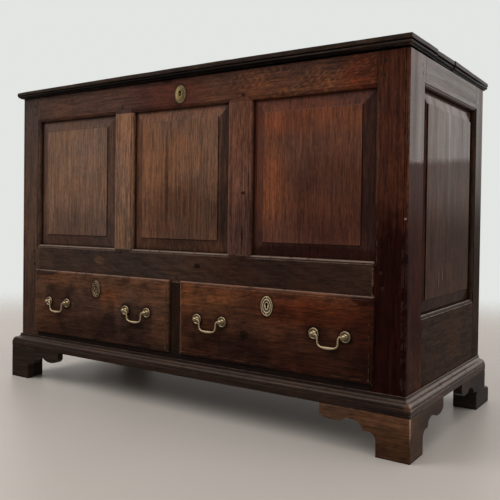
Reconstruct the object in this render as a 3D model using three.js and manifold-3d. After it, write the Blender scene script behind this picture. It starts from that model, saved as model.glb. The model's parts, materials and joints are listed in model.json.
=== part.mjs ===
// Oak mule chest: a panelled chest with a hinged lid over two lipped drawers, on bracket feet.
// Millimetres. +X runs right along the front, -Y faces the viewer, +Z is up, the floor is z = 0.

import * as THREE from "three";
import { mergeVertices } from "three/addons/utils/BufferGeometryUtils.js";
import Module from "manifold-3d";

const wasm = await Module();
wasm.setup();

// Fits
const gap = 0.3; // between pieces that rest on or fit in each other
const drawerPlay = 1; // each side of a drawer in its opening
const drawerHeadroom = 1.5; // above a drawer in its opening
const overrun = 6; // how far a cut runs past the wood that it cuts

// Case, overall
const bodyWidth = 1250;
const bodyDepth = 557;

// Heights from the floor up
const footHeight = 94;
const stripHeight = 16;
const mouldingHeight = 22;
const bottomRailReveal = 20;
const drawerOpeningHeight = 178;
const middleRailWidth = 81;
const frontOpeningHeight = 373;
const topRailWidth = 75;
const lidThickness = 25.5;
const mouldingTop = footHeight + stripHeight + mouldingHeight;
const drawerOpeningBottom = mouldingTop + bottomRailReveal;
const drawerOpeningTop = drawerOpeningBottom + drawerOpeningHeight;
const frontOpeningBottom = drawerOpeningTop + middleRailWidth;
const frontOpeningTop = frontOpeningBottom + frontOpeningHeight;
const caseTop = frontOpeningTop + topRailWidth;

// Frame members
const frameThickness = 28;
const frontPostWidth = 76;
const frontPostReturn = 95;
const rearPostWidth = 50;
const rearPostReturn = 72;
const muntinWidth = 71;
const dividerWidth = 49;
const sideTopRailWidth = 66;
const sideBottomRailWidth = 195;
const sideOpeningTop = caseTop - sideTopRailWidth;
const sideOpeningBottom = footHeight + sideBottomRailWidth;

// Mortise and tenon joints
const tenonThickness = 9;
const tenonInset = (frameThickness - tenonThickness) / 2;
const tenonShoulder = 14;
const frontTenonLength = 40;
const sideTenonLength = 30;
const muntinTenonLength = 25;
const dividerTenonLength = 20;

// Grooves and moulded edges round the panels
const grooveSetback = 14;
const grooveWidth = 7;
const grooveDepth = 10;
const tongueDepth = 8;
const edgeMouldWidth = 7;
const edgeMouldDepth = 8;
const edgeMouldStep = 1.4;

// Raised and fielded panels
const bevelWidth = 32;
const bevelRise = 6.9;
const fieldStep = 2.5;

// Worn arris and quirked bead on the front posts, rounded arris on the rear posts
const frontArrisRadius = 3;
const rearArrisRadius = 7;
const quirkInset = 9;
const quirkWidth = 2;
const quirkDepth = 1.8;

// Back boards, chest floor and drawer bed
const backThickness = 16;
const backRebate = 25;
const boardGrooveWidth = 3;
const boardGrooveDepth = 2;
const floorThickness = 13;
const floorLift = 14; // above the underside of the middle rail
const housingDepth = 8;
const backHousingDepth = 5;
const bedThickness = 15;
const bedTongueThickness = 8;
const sideRunnerWidth = 97;
const centreRunnerWidth = 160;
const bedCrossWidth = 42;
const bedRearWidth = 96;
const guideHeight = 20;

// Base
const baseProjection = 21;
const baseRearSetback = 12;
const bracketLength = 212;
const bracketThickness = 20;
const glueBlockWidth = 45;
const tipBlockHeight = 44;
const tipBlockWidth = 62;
const tipBlockLength = 118;
const tipBlockProud = 26;
const tipBlockChamfer = 8;

// Lid
const lidFrontOverhang = 18;
const lidEndOverhang = 10;
const lidRearOverhang = 10;
const lidEdgeRounding = 2;
const lidLipHeight = 12;
const lidLipStep = 1.6;
const lidMouldWidth = 7.5;
const lidBoardGroove = 1.4;

// Strap hinges
const hingeInset = 210; // from the end of the case to the middle of a strap
const strapWidth = 30;
const strapThickness = 2.2;
const lidStrapLength = 160;
const caseStrapLength = 120;
const knuckleRadius = 4.5;
const hingePinRadius = 2;
const knuckleStandoff = 1;

// Drawers
const lipOverlap = 6;
const lipProud = 9;
const lipEdge = 2.5;
const lipOvoloWidth = 7;
const lipStep = 1.2;
const drawerFrontInside = 21; // thickness of a drawer front behind the face of the case
const drawerRearClearance = 61; // behind a closed drawer, up to the back boards
const drawerSideThickness = 11;
const drawerSideHeight = 168;
const drawerBackThickness = 11;
const drawerBackHeight = 132;
const drawerBottomThickness = 8;
const drawerBottomLift = 8; // above the lower edge of a drawer side
const drawerGrooveDepth = 5;
const dovetailDepth = 12;
const dovetailBase = 26;
const dovetailTip = 34;

// Locks and escutcheons
const chestLockOffset = 8; // of the chest lock from the middle of the top rail
const chestLockDrop = 36.5; // of its keyhole below the top of the case
const drawerLockDrop = 31.5; // of a drawer's keyhole below the top of its opening
const chestPlateWidth = 37;
const drawerPlateWidth = 32.5;
const plateHeight = 47;
const plateDrop = 4.5; // of a plate's middle below its keyhole
const plateThickness = 2.4;
const plateEdge = 0.8;
const keyholeRadius = 3.4;
const keyholeSlotWidth = 4.6;
const keyholeSlotLength = 10;
const keywayWidth = 9;
const keywayHeight = 24;
const lockWidth = 70;
const lockHeight = 58;
const lockDepth = 13;
const lockWall = 1.6;
const boltThickness = 4;
const boltTravel = 8; // of a drawer bolt, upwards
const drawerBoltWidth = 26;
const drawerBoltHeight = 24;
const boltSocketPlay = 1;
const chestBoltLength = 24;
const chestBoltHeight = 9;
const chestBoltDrop = 6; // of the bolt's top edge below the top of the lock case
const linkPlateWidth = 60;
const linkPlateLength = 20;
const linkPlateThickness = 2;
const linkWidth = 4;
const linkWall = 2;
const linkPlay = 0.5; // round the link in its slot, and round the bolt in the link

// Drawer handles
// Of a handle's outer post from the end of its drawer's opening, set by hand on each drawer
const leftDrawerOuterInset = 62.5;
const leftDrawerInnerInset = 69;
const rightDrawerInnerInset = 54;
const rightDrawerOuterInset = 58;
const handleLift = 2.6; // of the handle pivots above the middle of the opening
const postSpacing = 78;
const pivotReach = 9.5;
const knobRadius = 6;
const neckRadius = 4;
const roseRadius = 13;
const roseThickness = 3.2;
const shankRadius = 3.2;
const nutRadius = 6;
const nutThickness = 4;
const shankEnd = 2;
const bailDrop = 28;
const bailRadius = 2.1;
const bellyRadius = 3.1;
const pintleSeat = 2; // of a bail end short of its post's axis

// Planes of the case, with the origin under the middle of its bounding box
const frontReach = lipProud + pivotReach + knobRadius;
const frontFace = (frontReach - bodyDepth - tipBlockProud) / 2;
const rearFace = frontFace + bodyDepth;
const endFace = bodyWidth / 2;
const frameBack = frontFace + frameThickness;
const frontPostEdge = endFace - frontPostWidth;
const sideInner = endFace - frameThickness;

// Finishes
const oakFrame = { color: 0x6b4630, roughness: 0.45, metalness: 0 };
const oakPanel = { color: 0x8a6444, roughness: 0.5, metalness: 0 };
const oakDark = { color: 0x4f3424, roughness: 0.5, metalness: 0 };
const oakDrawer = { color: 0x7a4526, roughness: 0.42, metalness: 0 };
const oakInside = { color: 0x94724f, roughness: 0.8, metalness: 0 };
const brass = { color: 0xb59c62, roughness: 0.35, metalness: 0.9 };
const iron = { color: 0x3b3a38, roughness: 0.6, metalness: 0.8 };

// Solids from three.js geometry
const chest = new THREE.Group();

function solidOf(geometry) {
  const bare = geometry.clone();
  bare.deleteAttribute("normal");
  bare.deleteAttribute("uv");
  const merged = mergeVertices(bare);
  const mesh = new wasm.Mesh({
    numProp: 3,
    vertProperties: new Float32Array(merged.attributes.position.array),
    triVerts: new Uint32Array(merged.index.array),
  });
  return new wasm.Manifold(mesh);
}

function addNode(name, solid, finish) {
  const made = solid.getMesh();
  const geometry = new THREE.BufferGeometry();
  geometry.setAttribute("position", new THREE.BufferAttribute(made.vertProperties, made.numProp));
  geometry.setIndex(new THREE.BufferAttribute(made.triVerts, 1));
  const mesh = new THREE.Mesh(geometry, new THREE.MeshStandardMaterial(finish));
  mesh.name = name;
  chest.add(mesh);
}

function mirrored(solid, side) {
  return side < 0 ? solid : solid.mirror([1, 0, 0]);
}

function cutBy(solid, cutters) {
  return cutters.reduce((left, cutter) => left.subtract(cutter), solid);
}

function joined(solids) {
  return solids.reduce((whole, piece) => whole.add(piece));
}

function block(x0, x1, y0, y1, z0, z1) {
  const geometry = new THREE.BoxGeometry(x1 - x0, y1 - y0, z1 - z0);
  geometry.translate((x0 + x1) / 2, (y0 + y1) / 2, (z0 + z1) / 2);
  return solidOf(geometry);
}

// An outline drawn across an axis and run along it: (y, z) along x, (x, z) along y, (x, y) along z
function prism(shape, axis, from, to) {
  const geometry = new THREE.ExtrudeGeometry(shape, {
    depth: to - from,
    bevelEnabled: false,
    curveSegments: 8,
  });
  const x = new THREE.Vector3(1, 0, 0);
  const y = new THREE.Vector3(0, 1, 0);
  const z = new THREE.Vector3(0, 0, 1);
  const turn = new THREE.Matrix4();
  if (axis === "x") turn.makeBasis(y, z, x).setPosition(from, 0, 0);
  if (axis === "y") turn.makeBasis(x, z, y.clone().negate()).setPosition(0, to, 0);
  if (axis === "z") turn.makeBasis(x, y, z).setPosition(0, 0, from);
  geometry.applyMatrix4(turn);
  return solidOf(geometry);
}

function polygon(points) {
  return new THREE.Shape(points.map(([a, b]) => new THREE.Vector2(a, b)));
}

// Rectangles [a0, a1, b0, b1, at] stacked along an axis; a and b are the other two axes in order
function stack(sections, axis) {
  const order = { x: [2, 0, 1], y: [0, 2, 1], z: [0, 1, 2] }[axis];
  const corners = sections.flatMap(([a0, a1, b0, b1, at]) => [
    [a0, b0, at],
    [a1, b0, at],
    [a1, b1, at],
    [a0, b1, at],
  ]);
  const position = corners.flatMap((corner) => order.map((pick) => corner[pick]));
  const faces = [[0, 2, 1], [0, 3, 2]];
  for (let level = 0; level + 1 < sections.length; level++) {
    for (let k = 0; k < 4; k++) {
      const low = level * 4 + k;
      const next = level * 4 + ((k + 1) % 4);
      faces.push([low, next, next + 4], [low, next + 4, low + 4]);
    }
  }
  const top = (sections.length - 1) * 4;
  faces.push([top, top + 1, top + 2], [top, top + 2, top + 3]);
  if (axis === "y") faces.forEach((face) => face.reverse());
  const geometry = new THREE.BufferGeometry();
  geometry.setAttribute("position", new THREE.Float32BufferAttribute(position, 3));
  geometry.setIndex(faces.flat());
  return solidOf(geometry);
}

// A rectangle grown on every side, as a section for stack
function grown([a0, a1, b0, b1], by, at) {
  return [a0 - by, a1 + by, b0 - by, b1 + by, at];
}

// Points on a quarter round from angle 0 to 90 degrees, as [cosine, sine] pairs
function quarterRound(steps) {
  return Array.from({ length: steps + 1 }, (_, i) => {
    const angle = (i / steps) * (Math.PI / 2);
    return [Math.cos(angle), Math.sin(angle)];
  });
}

function rod(radius, axis, from, to, sides) {
  const geometry = new THREE.CylinderGeometry(radius, radius, to - from, sides);
  geometry.translate(0, (from + to) / 2, 0);
  if (axis === "x") geometry.rotateZ(-Math.PI / 2);
  if (axis === "z") geometry.rotateX(Math.PI / 2);
  return solidOf(geometry);
}

// Panel openings in the front and the ends
const frontOpeningWidth = (bodyWidth - 2 * frontPostWidth - 2 * muntinWidth) / 3;
const frontOpenings = [0, 1, 2].map((i) => {
  const left = -frontPostEdge + i * (frontOpeningWidth + muntinWidth);
  return [left, left + frontOpeningWidth, frontOpeningBottom, frontOpeningTop];
});
const sideOpening = [
  frontFace + frontPostReturn,
  rearFace - rearPostReturn,
  sideOpeningBottom,
  sideOpeningTop,
];

// The groove and the stepped ovolo that run round an opening, cut from every member that frames it
function openingCutters(opening, axis, face, inward) {
  const grooveNear = face + inward * grooveSetback;
  const grooveFar = grooveNear + inward * grooveWidth;
  const groove = [grown(opening, grooveDepth, grooveNear), grown(opening, grooveDepth, grooveFar)];
  const roundDepth = edgeMouldDepth - edgeMouldStep;
  const roundTop = face + inward * edgeMouldStep;
  const mould = quarterRound(3).map(([across, along]) =>
    grown(opening, edgeMouldWidth * (1 - along), roundTop + inward * roundDepth * (1 - across)),
  );
  mould.unshift(grown(opening, edgeMouldWidth, face));
  mould.unshift(grown(opening, 2 * edgeMouldWidth, face - inward * overrun));
  const sorted = (list) => list.sort((one, other) => one[4] - other[4]);
  return [stack(sorted(groove), axis), stack(sorted(mould), axis)];
}

function fieldedPanel(opening, axis, face, inward) {
  const back = face + inward * (grooveSetback + grooveWidth - gap);
  const edge = face + inward * (grooveSetback + gap);
  const rise = edge - inward * bevelRise;
  const sections = [
    grown(opening, tongueDepth, back),
    grown(opening, tongueDepth, edge),
    grown(opening, -gap, edge),
    grown(opening, -bevelWidth, rise),
    grown(opening, -bevelWidth, rise - inward * fieldStep),
  ];
  if (inward > 0) sections.reverse();
  return stack(sections, axis);
}

const frontCutters = frontOpenings.flatMap((opening) => openingCutters(opening, "y", frontFace, 1));
const leftCutters = openingCutters(sideOpening, "x", -endFace, 1);

// Tenons of the front rails, on the left or right (side -1 or 1), grown by play for the mortise
function frontTenon(side, bottom, top, play) {
  const root = side * (frontPostEdge - overrun);
  const end = side * (frontPostEdge + frontTenonLength + play);
  return block(
    Math.min(root, end),
    Math.max(root, end),
    frontFace + tenonInset - play,
    frontFace + tenonInset + tenonThickness + play,
    bottom + tenonShoulder - play,
    top - tenonShoulder + play,
  );
}

// Tenons of the left side rails, towards the front or the rear post
function sideTenon(towardsFront, bottom, top, play) {
  const y0 = towardsFront ? sideOpening[0] - sideTenonLength - play : sideOpening[1] - overrun;
  const y1 = towardsFront ? sideOpening[0] + overrun : sideOpening[1] + sideTenonLength + play;
  return block(
    -endFace + tenonInset - play,
    -endFace + tenonInset + tenonThickness + play,
    y0,
    y1,
    bottom + tenonShoulder - play,
    top - tenonShoulder + play,
  );
}

const frontRails = {
  front_top_rail: [frontOpeningTop, caseTop],
  front_middle_rail: [drawerOpeningTop, frontOpeningBottom],
  front_bottom_rail: [footHeight, drawerOpeningBottom],
};
const sideRails = {
  side_top_rail: [sideOpeningTop, caseTop],
  side_bottom_rail: [footHeight, sideOpeningBottom],
};
const mortisePlay = gap;

// Uprights between the front rails, with a tenon at each end
const muntinTenonWidth = muntinWidth - 2 * (grooveDepth + tongueDepth);
const dividerTenonWidth = dividerWidth - 2 * tenonShoulder;

function uprightTenon(centre, width, bottom, top, play) {
  return block(
    centre - width / 2 - play,
    centre + width / 2 + play,
    frontFace + tenonInset - play,
    frontFace + tenonInset + tenonThickness + play,
    bottom,
    top,
  );
}

const muntinCentres = frontOpenings.slice(1).map((opening) => opening[0] - muntinWidth / 2);

function muntinTenons(centre, play) {
  const bottom = frontOpeningBottom - muntinTenonLength - play;
  const top = frontOpeningTop + muntinTenonLength + play;
  return uprightTenon(centre, muntinTenonWidth, bottom, top, play);
}

function dividerTenons(play) {
  const bottom = drawerOpeningBottom - dividerTenonLength - play;
  const top = drawerOpeningTop + dividerTenonLength + play;
  return uprightTenon(0, dividerTenonWidth, bottom, top, play);
}

// Corner posts
function frontPost(side) {
  const round = quarterRound(3).map(([across, along]) => [
    -endFace + frontArrisRadius * (1 - along),
    frontFace + frontArrisRadius * (1 - across),
  ]);
  const outline = [
    [-frontPostEdge, frameBack],
    [-frontPostEdge, frontFace],
    [-endFace + quirkInset + quirkWidth / 2, frontFace],
    [-endFace + quirkInset, frontFace + quirkDepth],
    [-endFace + quirkInset - quirkWidth / 2, frontFace],
    ...round,
    [-endFace, sideOpening[0]],
    [-sideInner, sideOpening[0]],
    [-sideInner, frameBack],
  ];
  const mortises = Object.values(frontRails).map(([bottom, top]) => {
    return frontTenon(-1, bottom, top, mortisePlay);
  });
  const sideMortises = Object.values(sideRails).map(([bottom, top]) => {
    return sideTenon(true, bottom, top, mortisePlay);
  });
  const post = prism(polygon(outline), "z", footHeight, caseTop);
  return mirrored(cutBy(post, [...mortises, ...sideMortises, ...frontCutters, ...leftCutters]), side);
}

function rearPost(side) {
  const round = quarterRound(3).map(([across, along]) => [
    -endFace + rearArrisRadius * (1 - across),
    rearFace - rearArrisRadius * (1 - along),
  ]);
  const outline = [
    [-endFace, sideOpening[1]],
    ...round,
    [-endFace + backRebate, rearFace],
    [-endFace + backRebate, rearFace - backThickness],
    [-endFace + rearPostWidth, rearFace - backThickness],
    [-endFace + rearPostWidth, sideOpening[1]],
  ];
  const mortises = Object.values(sideRails).map(([bottom, top]) => {
    return sideTenon(false, bottom, top, mortisePlay);
  });
  const post = prism(polygon(outline), "z", footHeight, caseTop);
  return mirrored(cutBy(post, [...mortises, ...leftCutters]), side);
}

// Locks: places of the drawer openings and of the keyholes
const drawerOpenings = {
  left: [-frontPostEdge, -dividerWidth / 2],
  right: [dividerWidth / 2, frontPostEdge],
};

function drawerCentre(hand) {
  const [left, right] = drawerOpenings[hand];
  return (left + right) / 2;
}

const chestKeyholeHeight = caseTop - chestLockDrop;
const drawerKeyholeHeight = drawerOpeningTop - drawerLockDrop;
const drawerBack = frontFace + drawerFrontInside;
const drawerFrontTop = drawerOpeningTop - drawerHeadroom;

// The space of a lock case let into wood whose rear face is at back and whose top edge is at top
function lockSpace(x, back, top, play) {
  return block(
    x - lockWidth / 2 - play,
    x + lockWidth / 2 + play,
    back - lockDepth - play,
    back + (play ? overrun : 0),
    top - lockHeight - play,
    top + (play ? overrun : 0),
  );
}

function keyway(x, height, front, back) {
  const low = height - keywayHeight / 2;
  return block(x - keywayWidth / 2, x + keywayWidth / 2, front - overrun, back, low, low + keywayHeight);
}

function boltBack(back) {
  return back - lockWall - gap;
}

function boltSocket(hand) {
  const x = drawerCentre(hand);
  const back = boltBack(drawerBack);
  return block(
    x - drawerBoltWidth / 2 - boltSocketPlay,
    x + drawerBoltWidth / 2 + boltSocketPlay,
    back - boltThickness - boltSocketPlay,
    back + boltSocketPlay,
    drawerOpeningTop - overrun,
    drawerFrontTop + boltTravel + boltSocketPlay,
  );
}

// Chest floor and drawer bed
const floorBottom = drawerOpeningTop + floorLift;
const bedBottom = drawerOpeningBottom - bedThickness;
const bedTongueBottom = bedBottom + (bedThickness - bedTongueThickness) / 2;
const backInner = rearFace - backThickness;

function floorFront(play) {
  return block(
    -frontPostEdge + gap - play,
    frontPostEdge - gap + play,
    frameBack - housingDepth + gap - play,
    frameBack + overrun,
    floorBottom - play,
    floorBottom + floorThickness + play,
  );
}

function bedTongue(play) {
  return block(
    -frontPostEdge + gap - play,
    frontPostEdge - gap + play,
    frameBack - housingDepth + gap - play,
    frameBack + overrun,
    bedTongueBottom - play,
    bedTongueBottom + bedTongueThickness + play,
  );
}

// Front rails and uprights
function frontRail(name) {
  const [bottom, top] = frontRails[name];
  const body = block(-frontPostEdge + gap, frontPostEdge - gap, frontFace, frameBack, bottom, top);
  const tenons = [frontTenon(-1, bottom, top, 0), frontTenon(1, bottom, top, 0)];
  const cuts = {
    front_top_rail: [
      ...muntinCentres.map((centre) => muntinTenons(centre, gap)),
      lockSpace(chestLockOffset, frameBack, caseTop, gap),
      keyway(chestLockOffset, chestKeyholeHeight, frontFace, frameBack),
    ],
    front_middle_rail: [
      ...muntinCentres.map((centre) => muntinTenons(centre, gap)),
      dividerTenons(gap),
      boltSocket("left"),
      boltSocket("right"),
      floorFront(gap),
    ],
    front_bottom_rail: [dividerTenons(gap), bedTongue(gap)],
  };
  return cutBy(joined([body, ...tenons]), [...cuts[name], ...frontCutters]);
}

function muntin(centre) {
  const body = block(
    centre - muntinWidth / 2,
    centre + muntinWidth / 2,
    frontFace,
    frameBack,
    frontOpeningBottom + gap,
    frontOpeningTop - gap,
  );
  return cutBy(body, frontCutters).add(muntinTenons(centre, 0));
}

function drawerDivider() {
  const body = block(
    -dividerWidth / 2,
    dividerWidth / 2,
    frontFace,
    frameBack,
    drawerOpeningBottom + gap,
    drawerOpeningTop - gap,
  );
  return body.add(dividerTenons(0));
}

// Side rails
function sideRail(name, side) {
  const [bottom, top] = sideRails[name];
  const y0 = sideOpening[0] + gap;
  const y1 = sideOpening[1] - gap;
  const body = block(-endFace, -sideInner, y0, y1, bottom, top);
  const tenons = [sideTenon(true, bottom, top, 0), sideTenon(false, bottom, top, 0)];
  return mirrored(cutBy(joined([body, ...tenons]), leftCutters), side);
}

// Back boards: three boards edge to edge, with a V at each joint
const strapNotchWidth = strapWidth + 2 * gap;
const lidUnderside = caseTop + gap;
const strapTop = lidUnderside - gap;
const boardJointShares = [1 / 3, 2 / 3];

function backBoards() {
  const x = endFace - backRebate - gap;
  const boards = block(-x, x, backInner + gap, rearFace, footHeight, caseTop);
  const height = caseTop - footHeight;
  const joints = boardJointShares.map((share) => {
    const z = footHeight + share * height;
    const outline = [
      [rearFace + boardGrooveDepth, z - boardGrooveWidth],
      [rearFace + boardGrooveDepth, z + boardGrooveWidth],
      [rearFace - boardGrooveDepth, z],
    ];
    return prism(polygon(outline), "x", -endFace, endFace);
  });
  const notches = [-1, 1].map((side) => {
    const centre = side * (endFace - hingeInset);
    return block(
      centre - strapNotchWidth / 2,
      centre + strapNotchWidth / 2,
      backInner - overrun,
      rearFace + overrun,
      strapTop - strapThickness - gap,
      caseTop + overrun,
    );
  });
  const housing = block(
    -endFace,
    endFace,
    backInner - overrun,
    backInner + gap + backHousingDepth,
    floorBottom - gap,
    floorBottom + floorThickness + gap,
  );
  return cutBy(boards, [...joints, ...notches, housing]);
}

function chestFloor() {
  const x = sideInner - gap;
  const rearX = endFace - rearPostWidth - gap;
  const z1 = floorBottom + floorThickness;
  const notchY = sideOpening[1] - gap;
  const main = block(-x, x, frameBack + gap, notchY, floorBottom, z1);
  const rear = block(-rearX, rearX, notchY - overrun, backInner + backHousingDepth, floorBottom, z1);
  return joined([main, rear, floorFront(0)]);
}

function drawerBed() {
  const x = sideInner - gap;
  const rearX = endFace - rearPostWidth - gap;
  const front = frameBack + gap;
  const postY = sideOpening[1] - gap;
  const rear = backInner;
  const holeFront = front + bedCrossWidth;
  const holeRear = rear - bedRearWidth;
  const frame = block(-x, x, front, postY, bedBottom, drawerOpeningBottom);
  const tail = block(-rearX, rearX, postY - overrun, rear, bedBottom, drawerOpeningBottom);
  const holes = [-1, 1].map((side) => {
    const inner = side * (centreRunnerWidth / 2);
    const outer = side * (sideInner - sideRunnerWidth);
    const z0 = bedBottom - overrun;
    const z1 = drawerOpeningBottom + overrun;
    return block(Math.min(inner, outer), Math.max(inner, outer), holeFront, holeRear, z0, z1);
  });
  const guideTop = drawerOpeningBottom + guideHeight;
  const guides = [
    [-x, -frontPostEdge],
    [-dividerWidth / 2, dividerWidth / 2],
    [frontPostEdge, x],
  ].map(([x0, x1]) => block(x0, x1, front, postY, drawerOpeningBottom - bedTongueThickness, guideTop));
  return joined([cutBy(joined([frame, tail]), holes), ...guides, bedTongue(0)]);
}

// Plinth moulding: a profile of [distance out from the case, height] run round front and ends
const mouldFilletShare = 0.19;
const mouldReachShare = 0.93;

function plinthProfile() {
  const stripTop = footHeight + stripHeight;
  const half = mouldingHeight / 2;
  const fillet = mouldingHeight * mouldFilletShare;
  const hollow = half - fillet;
  const reach = baseProjection * mouldReachShare;
  const points = [
    [gap, footHeight],
    [baseProjection, footHeight],
    [baseProjection, stripTop],
    [reach, stripTop],
  ];
  const bulge = (reach - fillet) / 2;
  quarterRound(3).forEach(([across, along]) => {
    points.push([reach - bulge * (1 - across), stripTop + half * along]);
  });
  quarterRound(3).forEach(([across, along]) => {
    points.push([fillet + bulge * (1 - along), stripTop + half + hollow * (1 - across)]);
  });
  points.push([fillet, mouldingTop], [gap, mouldingTop]);
  return points;
}

function plinthMoulding() {
  const rearEnd = rearFace - baseRearSetback;
  const profile = plinthProfile().filter((point, i, all) => {
    const last = all[(i + all.length - 1) % all.length];
    return Math.hypot(point[0] - last[0], point[1] - last[1]) > gap / 2;
  });
  const stations = [
    (out) => [-endFace - out, rearEnd],
    (out) => [-endFace - out, frontFace - out],
    (out) => [endFace + out, frontFace - out],
    (out) => [endFace + out, rearEnd],
  ];
  const count = profile.length;
  const position = stations.flatMap((place) => profile.flatMap(([out, z]) => [...place(out), z]));
  const faces = [];
  for (let station = 0; station + 1 < stations.length; station++) {
    for (let i = 0; i < count; i++) {
      const low = station * count + i;
      const next = station * count + ((i + 1) % count);
      faces.push([low, next + count, next], [low, low + count, next + count]);
    }
  }
  const outline = profile.map(([out, z]) => new THREE.Vector2(out, z));
  const last = (stations.length - 1) * count;
  THREE.ShapeUtils.triangulateShape(outline, []).forEach(([a, b, c]) => {
    faces.push([a, b, c], [last + a, last + c, last + b]);
  });
  const geometry = new THREE.BufferGeometry();
  geometry.setAttribute("position", new THREE.Float32BufferAttribute(position, 3));
  geometry.setIndex(faces.flat());
  return solidOf(geometry);
}

// Bracket feet: the outline from the corner inwards, as shares of the bracket's length and height
const ankleShare = 0.36;
const ankleTopShare = 0.33;
const cuspStartShares = [0.45, 0.54];
const cuspEndShares = [0.505, 0.54];
const archShares = [0.68, 0.755];
const lobeShares = [0.83, 0.65];
const bracketTop = footHeight - gap;

function bracketOutline(place, upTo) {
  const at = ([along, up]) => [place(along * bracketLength), up * footHeight];
  const shape = new THREE.Shape();
  const curve = (control, end) => shape.quadraticCurveTo(...at(control), ...at(end));
  shape.moveTo(place(0), bracketTop);
  if (upTo) {
    shape.lineTo(place(0), upTo);
    shape.lineTo(place(ankleShare * bracketLength), upTo);
  } else {
    shape.lineTo(place(0), 0);
    shape.lineTo(...at([ankleShare, 0]));
    shape.lineTo(...at([ankleShare, ankleTopShare]));
  }
  curve([ankleShare, cuspStartShares[1]], cuspStartShares);
  shape.lineTo(...at(cuspEndShares));
  curve([cuspEndShares[0], archShares[1]], archShares);
  curve([archShares[0] + (lobeShares[0] - archShares[0]) / 2, lobeShares[1]], lobeShares);
  curve([1, lobeShares[1]], [1, (lobeShares[1] + 1) / 2]);
  shape.lineTo(place(bracketLength), bracketTop);
  return shape;
}

const baseFront = frontFace - baseProjection;
const baseEnd = -endFace - baseProjection;
const baseRear = rearFace - baseRearSetback;

function frontFoot(side) {
  const front = prism(
    bracketOutline((along) => baseEnd + along, 0),
    "y",
    baseFront,
    baseFront + bracketThickness,
  );
  const end = prism(
    bracketOutline((along) => baseFront + along, 0),
    "x",
    baseEnd,
    baseEnd + bracketThickness,
  );
  const inside = bracketThickness - gap;
  const reach = inside + glueBlockWidth;
  const glueBlock = block(
    baseEnd + inside,
    baseEnd + reach,
    baseFront + inside,
    baseFront + reach,
    0,
    bracketTop,
  );
  return mirrored(joined([front, end, glueBlock]), side);
}

function rearLeftFoot() {
  const end = prism(
    bracketOutline((along) => baseRear - along, 0),
    "x",
    baseEnd,
    baseEnd + bracketThickness,
  );
  const inside = bracketThickness - gap;
  const glueBlock = block(
    baseEnd + inside,
    baseEnd + inside + glueBlockWidth,
    baseRear - glueBlockWidth,
    baseRear,
    0,
    bracketTop,
  );
  return end.add(glueBlock);
}

// The rear right ankle has been replaced by a square block that stands a little proud at the rear
function rearRightFoot() {
  const upTo = tipBlockHeight - gap;
  const end = prism(
    bracketOutline((along) => baseRear - along, upTo),
    "x",
    -baseEnd - bracketThickness,
    -baseEnd,
  );
  const inside = bracketThickness - gap;
  const glueBlock = block(
    -baseEnd - inside - glueBlockWidth,
    -baseEnd - inside,
    baseRear - glueBlockWidth,
    baseRear,
    0,
    bracketTop,
  );
  const tipRear = rearFace + tipBlockProud;
  const tipFront = tipRear - tipBlockLength;
  const outline = [
    [tipFront, 0],
    [tipRear, 0],
    [tipRear, tipBlockHeight - tipBlockChamfer],
    [tipRear - 2 * tipBlockChamfer, tipBlockHeight],
    [tipFront, tipBlockHeight],
  ];
  const tip = prism(polygon(outline), "x", -baseEnd - tipBlockWidth, -baseEnd);
  return joined([end, glueBlock, tip]);
}

// Lid: three boards edge to edge, moulded along the front and the ends
const lidJointShares = [0.28, 0.5];
const linkPlateBack = frameBack;

function lidSection(inset, z) {
  const x = endFace + lidEndOverhang - inset;
  return [-x, x, frontFace - lidFrontOverhang + inset, rearFace + lidRearOverhang, z];
}

function lid() {
  const top = caseTop + gap + lidThickness;
  const lipBottom = top - lidLipHeight;
  const ovoloHeight = lipBottom - lidUnderside;
  const ovolo = quarterRound(4).map(([across, along]) => {
    const inset = lidLipStep + (lidMouldWidth - lidLipStep) * (1 - across);
    return lidSection(inset, lipBottom - ovoloHeight * along);
  });
  const board = stack(
    [
      ...ovolo.reverse(),
      lidSection(0, lipBottom),
      lidSection(0, top - lidEdgeRounding),
      lidSection(lidEdgeRounding, top),
    ],
    "z",
  );
  const depth = bodyDepth + lidFrontOverhang + lidRearOverhang;
  const joints = lidJointShares.map((share) => {
    const y = frontFace - lidFrontOverhang + share * depth;
    const outline = [
      [y - lidBoardGroove, top + lidBoardGroove],
      [y + lidBoardGroove, top + lidBoardGroove],
      [y, top - lidBoardGroove],
    ];
    return prism(polygon(outline), "x", -bodyWidth, bodyWidth);
  });
  const recess = block(
    chestLockOffset - linkPlateWidth / 2 - gap,
    chestLockOffset + linkPlateWidth / 2 + gap,
    linkPlateBack - linkPlateLength - gap,
    linkPlateBack + gap,
    lidUnderside - overrun,
    lidUnderside + linkPlateThickness + gap,
  );
  return cutBy(board, [...joints, recess]);
}

// Strap hinges: the pin stands behind the back boards, just under the lid
const pinY = rearFace + knuckleStandoff + knuckleRadius;
const pinZ = strapTop - knuckleRadius;
const knuckleSides = 20;

function hingePin(centre, radius, x0, x1) {
  return rod(radius, "x", x0, x1, knuckleSides).translate([centre, pinY, pinZ]);
}

function lidStrap(side) {
  const centre = side * (endFace - hingeInset);
  const knuckle = strapWidth / 3;
  const plateEnd = pinY - knuckleRadius - gap;
  const z0 = strapTop - strapThickness;
  const x0 = centre - strapWidth / 2;
  const x1 = centre + strapWidth / 2;
  const plate = block(x0, x1, plateEnd - lidStrapLength, plateEnd, z0, strapTop);
  const parts = [plate];
  [
    [-strapWidth / 2, -knuckle / 2 - gap],
    [knuckle / 2 + gap, strapWidth / 2],
  ].forEach(([from, to]) => {
    parts.push(block(centre + from, centre + to, plateEnd - overrun, pinY, z0, strapTop));
    parts.push(hingePin(centre, knuckleRadius, from, to));
  });
  const bore = hingePin(centre, hingePinRadius + gap, -strapWidth, strapWidth);
  return joined(parts).subtract(bore);
}

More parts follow.
